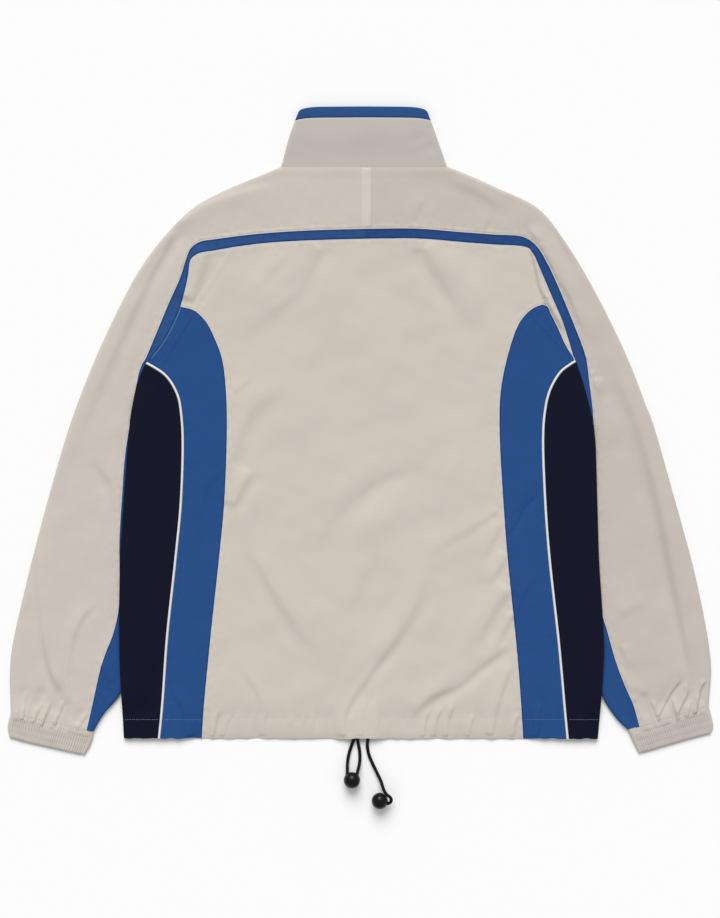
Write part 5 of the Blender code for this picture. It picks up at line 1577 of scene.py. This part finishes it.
def add_edging(surfaces):
    """Ribbons along the seams between beige and blue: a light edge on the beige, painted highlight, and a
    darker line on the blue beside it, painted shade; and a lighter blue fold where blue lies over blue,
    painted highlight.
    """
    store, blue, shade = empty_store(), empty_store(), empty_store()
    for side, line in LINES.items():
        sign = line["sign"]
        folded = line["cap"] is line["base"][2]
        under = chain(*line["base"][: 2 if folded else 3])
        edge_of_back = line["side_seam"] if folded else chain(line["side_seam"], line["cap"])
        runs = [
            (chain(*line["top"]), 1, surfaces["yoke_sleeve", side], surfaces["stripe", side]),
            (under, -1, surfaces["back"], surfaces["stripe", side]),
            (edge_of_back, 1, surfaces["back"], surfaces["side_back", side]),
            (line["under_seam"], 1, surfaces["yoke_sleeve", side], surfaces["under_sleeve", side]),
        ]
        for curve, way, light_cloth, blue_cloth in runs:
            way = way * sign
            # a lighter ribbon on the beige beside the seam: painted highlight
            ribbon(offset_curve(curve, way * EDGING_OFFSET), way, light_cloth, store)
            # a darker ribbon on the blue beside the seam: painted shade
            ribbon(offset_curve(curve, -way * SHADE_OFFSET), -way, blue_cloth, shade)
        if folded:
            edge = clip_curve(line["cap"], lambda x, y: y > line["cap"][-1, 1] + 5)
            fold = offset_curve(edge, -sign * EDGING_OFFSET * 2)
            # a lighter blue ribbon on the fold: painted highlight
            ribbon(fold, -sign, surfaces["side_back", side], blue, FOLD_WIDTH)
            # a darker ribbon on the stripe beside the fold: painted shade
            ribbon(offset_curve(edge, sign * SHADE_OFFSET), sign, surfaces["stripe", side], shade)
    add_sewn("fold_edging", blue, "blue_painted_highlight")
    add_sewn("shade_edging", shade, "blue_painted_shade")
    add_sewn("seam_edging", store, "edging")


def add_stitching(surfaces):
    """Rows of stitches on the hem, the armhole seams and the stripe."""
    light, beige, blue = empty_store(), empty_store(), empty_store()
    hem_x = [x_at(LINES[side]["side_seam"], HEM_STITCH) for side in ("left", "right")]
    stitch_line(hem_line(hem_x[0] + 2, hem_x[1] - 2), surfaces["back"], beige)
    for side, line in LINES.items():
        sign = line["sign"]
        hems = (
            (line["side_seam"], line["piping_blue"], "side_back"),
            (line["piping_navy"], line["side_fold"][0], "side_panel"),
        )
        for first, second, name in hems:
            ends = sorted(x_at(edge, HEM_STITCH) for edge in (first, second))
            stitch_line(hem_line(ends[0] + 2, ends[1] - 2), surfaces[name, side], light)
        for curve, distance in ((chain(*line["top"][:4]), -1), (chain(*line["base"][:2]), 1)):
            row = offset_curve(curve, sign * distance * STRIPE_STITCH)
            stitch_line(row, surfaces["stripe", side], blue)
        fell, _ = smooth_line(FELL_SEAMS[side])
        for shift in (-FELL_WIDTH / 2, FELL_WIDTH / 2):
            row = offset_curve(fell, shift)
            on_beige = clip_curve(row, lambda x, y: y > blue_cap_y(line, x) + 1.0)
            on_blue = clip_curve(row, lambda x, y: y < blue_cap_y(line, x) - 1.0)
            if len(on_beige) > SHORT_RUN:
                stitch_line(on_beige, surfaces["back"], beige)
            if len(on_blue) > SHORT_RUN:
                stitch_line(on_blue, surfaces["side_back", side], blue)
    add_sewn("hem_stitches", light, "light_thread")
    add_sewn("beige_stitches", beige, "beige_thread")
    add_sewn("blue_stitches", blue, "blue_thread")


def blue_cap_y(line, x):
    """Height of the top of the blue side back at x."""
    cap = np.vstack([line["side_seam"], line["cap"]])
    cap = cap[cap[:, 1] > 440]
    order = np.argsort(cap[:, 0])
    return np.interp(x, cap[order, 0], cap[order, 1])


# ---------------------------------------------------------------- zip and drawcord

TOOTH = (1.1, 2.6, 1.5)  # along the zip, across it and through it
TOOTH_PITCH = 2.3
TOOTH_SIDE = 0.75  # from the zip's middle to a row's own
TEETH_SHORT = 14  # the tape is this much longer than its teeth
TAPE_TOP = 1.1
TAPE_ROWS = 120


def zip_closure():
    """Tape with two rows of interlocked teeth."""
    steps = np.linspace(*ZIP_Y, TAPE_ROWS)
    edges = [np.column_stack([0 * steps + ZIP_X + side * ZIP_WIDTH / 2, steps]) for side in (-1, 1)]
    plan = Plan().grid(ruled(*edges, (0, 0.5, 1)))
    tape = sheet("zip_tape", plan, lambda x, y: zip_lift(x, y) + TAPE_TOP, "tape_cloth")
    place(tape, "zip", "zip")
    store = empty_store()
    long, wide, thick = TOOTH
    for n in range(int((ZIP_Y[1] - ZIP_Y[0] - TEETH_SHORT) / TOOTH_PITCH)):
        for row, x in ((0, ZIP_X - TOOTH_SIDE), (0.5, ZIP_X + TOOTH_SIDE)):
            y = ZIP_Y[0] + 2 + (n + row) * TOOTH_PITCH
            if y > SLIDER_Y + SLIDER_BACK - 1:
                continue
            z = zip_lift(np.array([ZIP_X]), np.array([y]))[0]
            sides = ((x - wide / 2, x + wide / 2), (y - long / 2, y + long / 2), (z + 0.02, z + thick))
            store["faces"] += [[len(store["points"]) + corner for corner in face] for face in BOX_FACES]
            store["points"] += box_corners(*sides)
    add_sewn("zip_teeth", store, "tooth")


CORD_RINGS = 0.6  # spacing of the rings of a cord's tube
CORD_AROUND = 16
CORD_END = 0.8  # its cut ends are this much narrower
BRAID_STRANDS = 8
BRAID_HEIGHT = 0.12
BRAID_PITCH = 4.2
BORE_AROUND = 20
BALL_CELLS = (56, 36)


def frames_along(path):
    """At each point of a path, two directions across it, which don't twist."""
    tangents = unit_rows(np.gradient(path, axis=0))
    normal = np.cross(tangents[0], (0, 0, 1.0))
    for direction in tangents:
        normal = normal - direction * (normal @ direction)
        normal = normal / np.linalg.norm(normal)
        yield normal, np.cross(direction, normal)


def tube(name, path, reaches, look):
    """A tube along a path, closed at both ends. reaches has a row for each of its rings."""
    around = reaches.shape[1]
    angles = np.linspace(0, math.tau, around, endpoint=False)
    rings = []
    for centre, (normal, other), reach in zip(path, frames_along(path), reaches):
        across = (np.cos(angles) * reach)[:, None] * normal + (np.sin(angles) * reach)[:, None] * other
        rings.append(centre + across)
    last = (len(path) - 1) * around
    faces = []
    for low in range(0, last, around):
        for k in range(around):
            after = (k + 1) % around
            faces.append([low + k, low + after, low + around + after, low + around + k])
    faces += [list(range(around))[::-1], list(range(last, last + around))]
    return add_object(name, np.vstack(rings), faces, look)


def cord(side):
    """One braided end of the drawcord, with its ball."""
    curve, _ = smooth_line(CORDS[side])
    total = length_of(curve)
    path = at_lengths(curve, np.linspace(0, total, round(total / CORD_RINGS) + 1))
    strands = BRAID_STRANDS / 2 * np.linspace(0, math.tau, CORD_AROUND, endpoint=False)
    run = (math.tau * np.arange(len(path)) * CORD_RINGS / BRAID_PITCH)[:, None]
    braid = np.cos(strands + run) * np.cos(strands - run)
    reaches = CORD / 2 - BRAID_HEIGHT + BRAID_HEIGHT * np.abs(braid)
    reaches[[0, -1]] *= CORD_END
    piece = tube(f"drawcord_{side}", path, reaches, "cord_braid")
    place(piece, f"cord_{side}", "cord")
    stop = ball(side, path)


def ball(side, path):
    """A turned plastic ball, bored along the cord's path."""
    centre = np.array(BALLS[side], float)
    shape = bmesh.new()
    around, up = BALL_CELLS
    bmesh.ops.create_uvsphere(shape, u_segments=around, v_segments=up, radius=BALL / 2000)
    mesh = bpy.data.meshes.new(f"ball_stop_{side}")
    shape.to_mesh(mesh)
    shape.free()
    made = bpy.data.objects.new(f"ball_stop_{side}", mesh)
    mesh.transform(Matrix.Translation(Vector(to_world(*centre))))
    bpy.context.scene.collection.objects.link(made)
    mesh.shade_smooth()
    mesh.materials.append(LOOKS["ball_plastic"])
    near = np.linalg.norm(path - centre, axis=1) < BALL / 2 + 4
    first, last = np.flatnonzero(near)[[0, -1]]
    inside = path[first : last + 1 : 3]
    bore = tube("bore", inside, np.full((len(inside), BORE_AROUND), CORD / 2 + CORD_PLAY), "ball_plastic")
    cut = made.modifiers.new("bore", "BOOLEAN")
    cut.operation = "DIFFERENCE"
    cut.object = bore
    cut.solver = "EXACT"
    graph = bpy.context.evaluated_depsgraph_get()
    bored = bpy.data.meshes.new_from_object(made.evaluated_get(graph))
    made.modifiers.clear()
    made.data = bored
    bored.set_sharp_from_angle(angle=math.radians(40))
    bpy.data.objects.remove(bore)
    place(made, f"ball_{side}", "ball")
    return made


# ---------------------------------------------------------------- materials

# Cloth: colour in linear light, how far it varies, roughness, spacing of its threads, and gloss.
# One cloth has slightly different colours on different pieces, fitted to how light each looks: these are
# painted light and shade, lit and shaded copies of one cloth, with the right sleeve, the right cuff and the
# collar painted darker than the back.
ClothLook = namedtuple("ClothLook", "colour mottle roughness thread gloss")
CLOTH_LOOKS = {
    "beige_cloth": ClothLook((0.57, 0.523, 0.464), 0.025, 0.85, 0.55, 0.12),
    "back_beige": ClothLook((0.578, 0.529, 0.468), 0.025, 0.85, 0.55, 0.12),
    "sleeve_cloth_left": ClothLook((0.565, 0.514, 0.46), 0.025, 0.85, 0.55, 0.12),
    # painted shade: the right sleeve is coloured darker than the left
    "sleeve_cloth_right": ClothLook((0.53, 0.482, 0.432), 0.025, 0.85, 0.55, 0.12),
    "strip_cloth": ClothLook((0.607, 0.554, 0.498), 0.015, 0.8, 0.5, 0.12),
    # painted shade: the collar is coloured darker than the yoke
    "collar_cloth": ClothLook((0.508, 0.466, 0.431), 0.02, 0.85, 0.55, 0.12),
    "cuff_cloth_left": ClothLook((0.565, 0.515, 0.462), 0.02, 0.85, 0.55, 0.12),
    # painted shade: the right cuff is coloured darker than the left
    "cuff_cloth_right": ClothLook((0.54, 0.491, 0.447), 0.02, 0.85, 0.55, 0.12),
    "blue_cloth": ClothLook((0.0185, 0.0715, 0.224), 0.05, 0.75, 0.5, 0.08),
    "stripe_painted_light_left": ClothLook((0.0235, 0.075, 0.222), 0.05, 0.75, 0.5, 0.08),
    # painted shade: the right stripe's blue is coloured darker than the left's
    "stripe_painted_light_right": ClothLook((0.0185, 0.061, 0.2), 0.05, 0.75, 0.5, 0.08),
    "navy_cloth": ClothLook((0.006, 0.0072, 0.0192), 0.08, 0.8, 0.5, 0.06),
    "piping_cloth": ClothLook((0.76, 0.745, 0.73), 0.02, 0.7, 0.4, 0.12),
    "tape_cloth": ClothLook((0.45, 0.41, 0.36), 0.03, 0.85, 0.45, 0.12),
}


# Moulded plastic, metal and thread: scale is how fine the grain is.
PlainLook = namedtuple("PlainLook", "colour roughness metallic scale gloss")
PLAIN_LOOKS = {
    "light_thread": PlainLook((0.19, 0.25, 0.36), 0.6, 0, 2500, 0.2),
    "beige_thread": PlainLook((0.66, 0.62, 0.56), 0.6, 0, 2500, 0.5),
    "blue_thread": PlainLook((0.012, 0.043, 0.145), 0.7, 0, 2500, 0.1),
    # painted highlight: the light ribbon along the seams
    "edging": PlainLook((0.56, 0.56, 0.6), 0.8, 0, 1500, 0.2),
    # painted highlight: the lighter blue ribbon on the fold
    "blue_painted_highlight": PlainLook((0.065, 0.145, 0.34), 0.7, 0, 1500, 0.1),
    # painted shade: the darker blue ribbon beside the seams
    "blue_painted_shade": PlainLook((0.013, 0.043, 0.145), 0.8, 0, 1500, 0.08),
    "tooth": PlainLook((0.42, 0.38, 0.33), 0.4, 0, 900, 0.5),
    "cord_braid": PlainLook((0.004, 0.004, 0.005), 0.7, 0, 2500, 0.15),
    "ball_plastic": PlainLook((0.003, 0.003, 0.004), 0.3, 0, 500, 0.22),
    "zip_metal": PlainLook((0.5, 0.5, 0.51), 0.32, 1, 700, 0.5),
}
LOOKS = {}


# Scale of a noise, and strength and depth of a relief, in metres.
SLOW_SHADE, FINE_SHADE = 9, 420
SOFT_RELIEF = (0.35, 0.0012)
SOFT_SCALE = 38
WEAVE_RELIEF = (0.25, 0.00008)
GRAIN_RELIEF = (0.15, 0.00005)
GRAIN_RANGE = (0.85, 1.15)  # of the roughness
ONE_WAVE = math.tau / 20  # scale that gives the wave texture one wave a metre


class Shading:
    """A new material: its shader, and the nodes that are added to it."""

    def __init__(self, name, inputs):
        self.material = bpy.data.materials.new(name)
        self.material.use_nodes = True
        self.tree = self.material.node_tree
        self.shader = self.tree.nodes["Principled BSDF"]
        self.fill(self.shader, inputs)

    def fill(self, node, inputs):
        """Sets a node's inputs, or joins them to the output that is given."""
        for key, value in inputs.items():
            if isinstance(value, bpy.types.NodeSocket):
                self.tree.links.new(value, node.inputs[key])
            else:
                node.inputs[key].default_value = value

    def add(self, kind, inputs, output=0, **settings):
        node = self.tree.nodes.new(f"ShaderNode{kind}")
        for key, value in settings.items():
            setattr(node, key, value)
        self.fill(node, inputs)
        return node.outputs[output]

    def noise(self, place, scale, detail=2):
        return self.add("TexNoise", {"Vector": place, "Scale": scale, "Detail": detail}, "Fac")

    def bump(self, height, strength, distance, under=None):
        inputs = {"Height": height, "Strength": strength, "Distance": distance}
        if under:
            inputs["Normal"] = under
        return self.add("Bump", inputs, "Normal")


def cloth_material(name, look):
    """Woven cloth: crossing threads in its relief, and slow changes of shade."""
    shading = Shading(name, {
        "Roughness": look.roughness,
        "Specular IOR Level": look.gloss,
        "Sheen Weight": look.gloss / 4,
        "Sheen Roughness": 0.5,
    })
    place = shading.add("TexCoord", {}, "Object")
    slow = shading.add("Math", {0: shading.noise(place, SLOW_SHADE, 3), 1: 0.65}, operation="MULTIPLY")
    fine = {0: shading.noise(place, FINE_SHADE), 1: 0.35, 2: slow}
    blend = shading.add("Math", fine, operation="MULTIPLY_ADD")
    dark, light = ((*(c * (1 + way * look.mottle) for c in look.colour), 1) for way in (-1, 1))
    shade = shading.add("Mix", {"Factor": blend, "A": dark, "B": light}, "Result", data_type="RGBA")
    wave = {
        "Scale": ONE_WAVE / (look.thread / 1000),
        "Distortion": 0.6,
        "Detail": 1,
        "Detail Scale": 0.3,
        "Vector": place,
    }
    warp, weft = (shading.add("TexWave", wave, "Fac", bands_direction=way) for way in ("X", "Y"))
    weave = shading.add("Math", {0: warp, 1: weft}, operation="MULTIPLY")
    soft = shading.bump(shading.noise(place, SOFT_SCALE), *SOFT_RELIEF)
    shading.fill(shading.shader, {"Base Color": shade, "Normal": shading.bump(weave, *WEAVE_RELIEF, soft)})
    shading.material.diffuse_color = (*look.colour, 1)
    return shading.material


def plain_material(name, look):
    """Plastic, metal or thread, with a faint grain in its roughness and relief."""
    shading = Shading(name, {
        "Base Color": (*look.colour, 1),
        "Metallic": look.metallic,
        "Specular IOR Level": look.gloss,
    })
    grain = shading.noise(shading.add("TexCoord", {}, "Object"), look.scale)
    low, high = (look.roughness * share for share in GRAIN_RANGE)
    roughness = shading.add("MapRange", {"Value": grain, "To Min": low, "To Max": high}, "Result")
    shading.fill(shading.shader, {"Roughness": roughness, "Normal": shading.bump(grain, *GRAIN_RELIEF)})
    shading.material.diffuse_color = (*look.colour, 1)
    return shading.material


def make_looks():
    for name, look in CLOTH_LOOKS.items():
        LOOKS[name] = cloth_material(name, look)
    for name, look in PLAIN_LOOKS.items():
        LOOKS[name] = plain_material(name, look)


def add_object(name, vertices, faces, look):
    """A mesh object from corners in millimetres."""
    mesh = bpy.data.meshes.new(name)
    corners = (np.asarray(vertices, float) - (MIDDLE_X, MIDDLE_Y, 0)) / 1000
    mesh.from_pydata(corners.tolist(), [], faces)
    shape = bmesh.new()
    shape.from_mesh(mesh)
    bmesh.ops.recalc_face_normals(shape, faces=shape.faces)
    shape.to_mesh(mesh)
    shape.free()
    mesh.shade_smooth()
    mesh.set_sharp_from_angle(angle=math.radians(62))
    mesh.materials.append(LOOKS[look])
    made = bpy.data.objects.new(name, mesh)
    bpy.context.scene.collection.objects.link(made)
    return made


# ---------------------------------------------------------------- light, floor and camera

CAMERA_XY = (-0.0006, -0.0345)
CAMERA_HEIGHT = 2.6
CAMERA_LENS = 83.35
KEY_STRENGTH = 2.65
KEY_ANGLE = 40.0
KEY_ZENITH = 49.0  # degrees down from straight overhead
KEY_HEADING = 4.0  # degrees to the left of the collar's side
SKY_STRENGTH = 0.5
FLOOR_COLOUR = (0.93, 0.93, 0.93)


def add_stage():
    scene = bpy.context.scene
    scene.view_settings.view_transform = "Standard"
    world = bpy.data.worlds.new("studio")
    scene.world = world
    world.use_nodes = True
    sky = world.node_tree.nodes["Background"]
    sky.inputs["Color"].default_value = (1, 1, 1, 1)
    sky.inputs["Strength"].default_value = SKY_STRENGTH
    key = bpy.data.lights.new("key", "SUN")
    key.energy = KEY_STRENGTH
    key.angle = math.radians(KEY_ANGLE)
    lamp = bpy.data.objects.new("key", key)
    lamp.rotation_euler = (math.radians(-KEY_ZENITH), 0, math.radians(KEY_HEADING))
    scene.collection.objects.link(lamp)
    bpy.ops.mesh.primitive_plane_add(size=60)
    floor = bpy.context.object
    floor.name = "floor"
    paint = Shading("floor", {"Base Color": (*FLOOR_COLOUR, 1), "Roughness": 0.9, "Specular IOR Level": 0.1})
    floor.data.materials.append(paint.material)
    camera = bpy.data.cameras.new("camera")
    camera.lens = CAMERA_LENS
    camera.clip_end = 50
    view = bpy.data.objects.new("camera", camera)
    view.location = (*CAMERA_XY, CAMERA_HEIGHT)
    scene.collection.objects.link(view)
    scene.camera = view


def dress_hardware():
    for node in ("zip_slider", "zip_pull"):
        bpy.data.objects[node].data.materials[0] = LOOKS["zip_metal"]


def main():
    make_looks()
    add_stage()
    surfaces = {}
    for side, line in LINES.items():
        cord(side)
        surfaces["yoke_sleeve", side] = yoke_sleeve(side, line)
        surfaces["stripe", side] = stripe(side, line)
        surfaces["under_sleeve", side] = under_sleeve(side, line)
        surfaces["side_back", side] = side_back(side, line)
        surfaces["side_panel", side] = side_panel(side, line)
        piping(side, line)
        front(side, line)
        sleeve_front(side, line)
        cuff(side, line)
    surfaces["back"] = back(LINES["left"], LINES["right"])
    back_strip()
    collar_ring("collar", COLLAR, "collar_cloth", "beige", True)
    collar_ring("collar_band", COLLAR_BAND, "stripe_painted_light_left", "blue", False)
    add_edging(surfaces)
    add_stitching(surfaces)
    zip_closure()
    dress_hardware()


main()
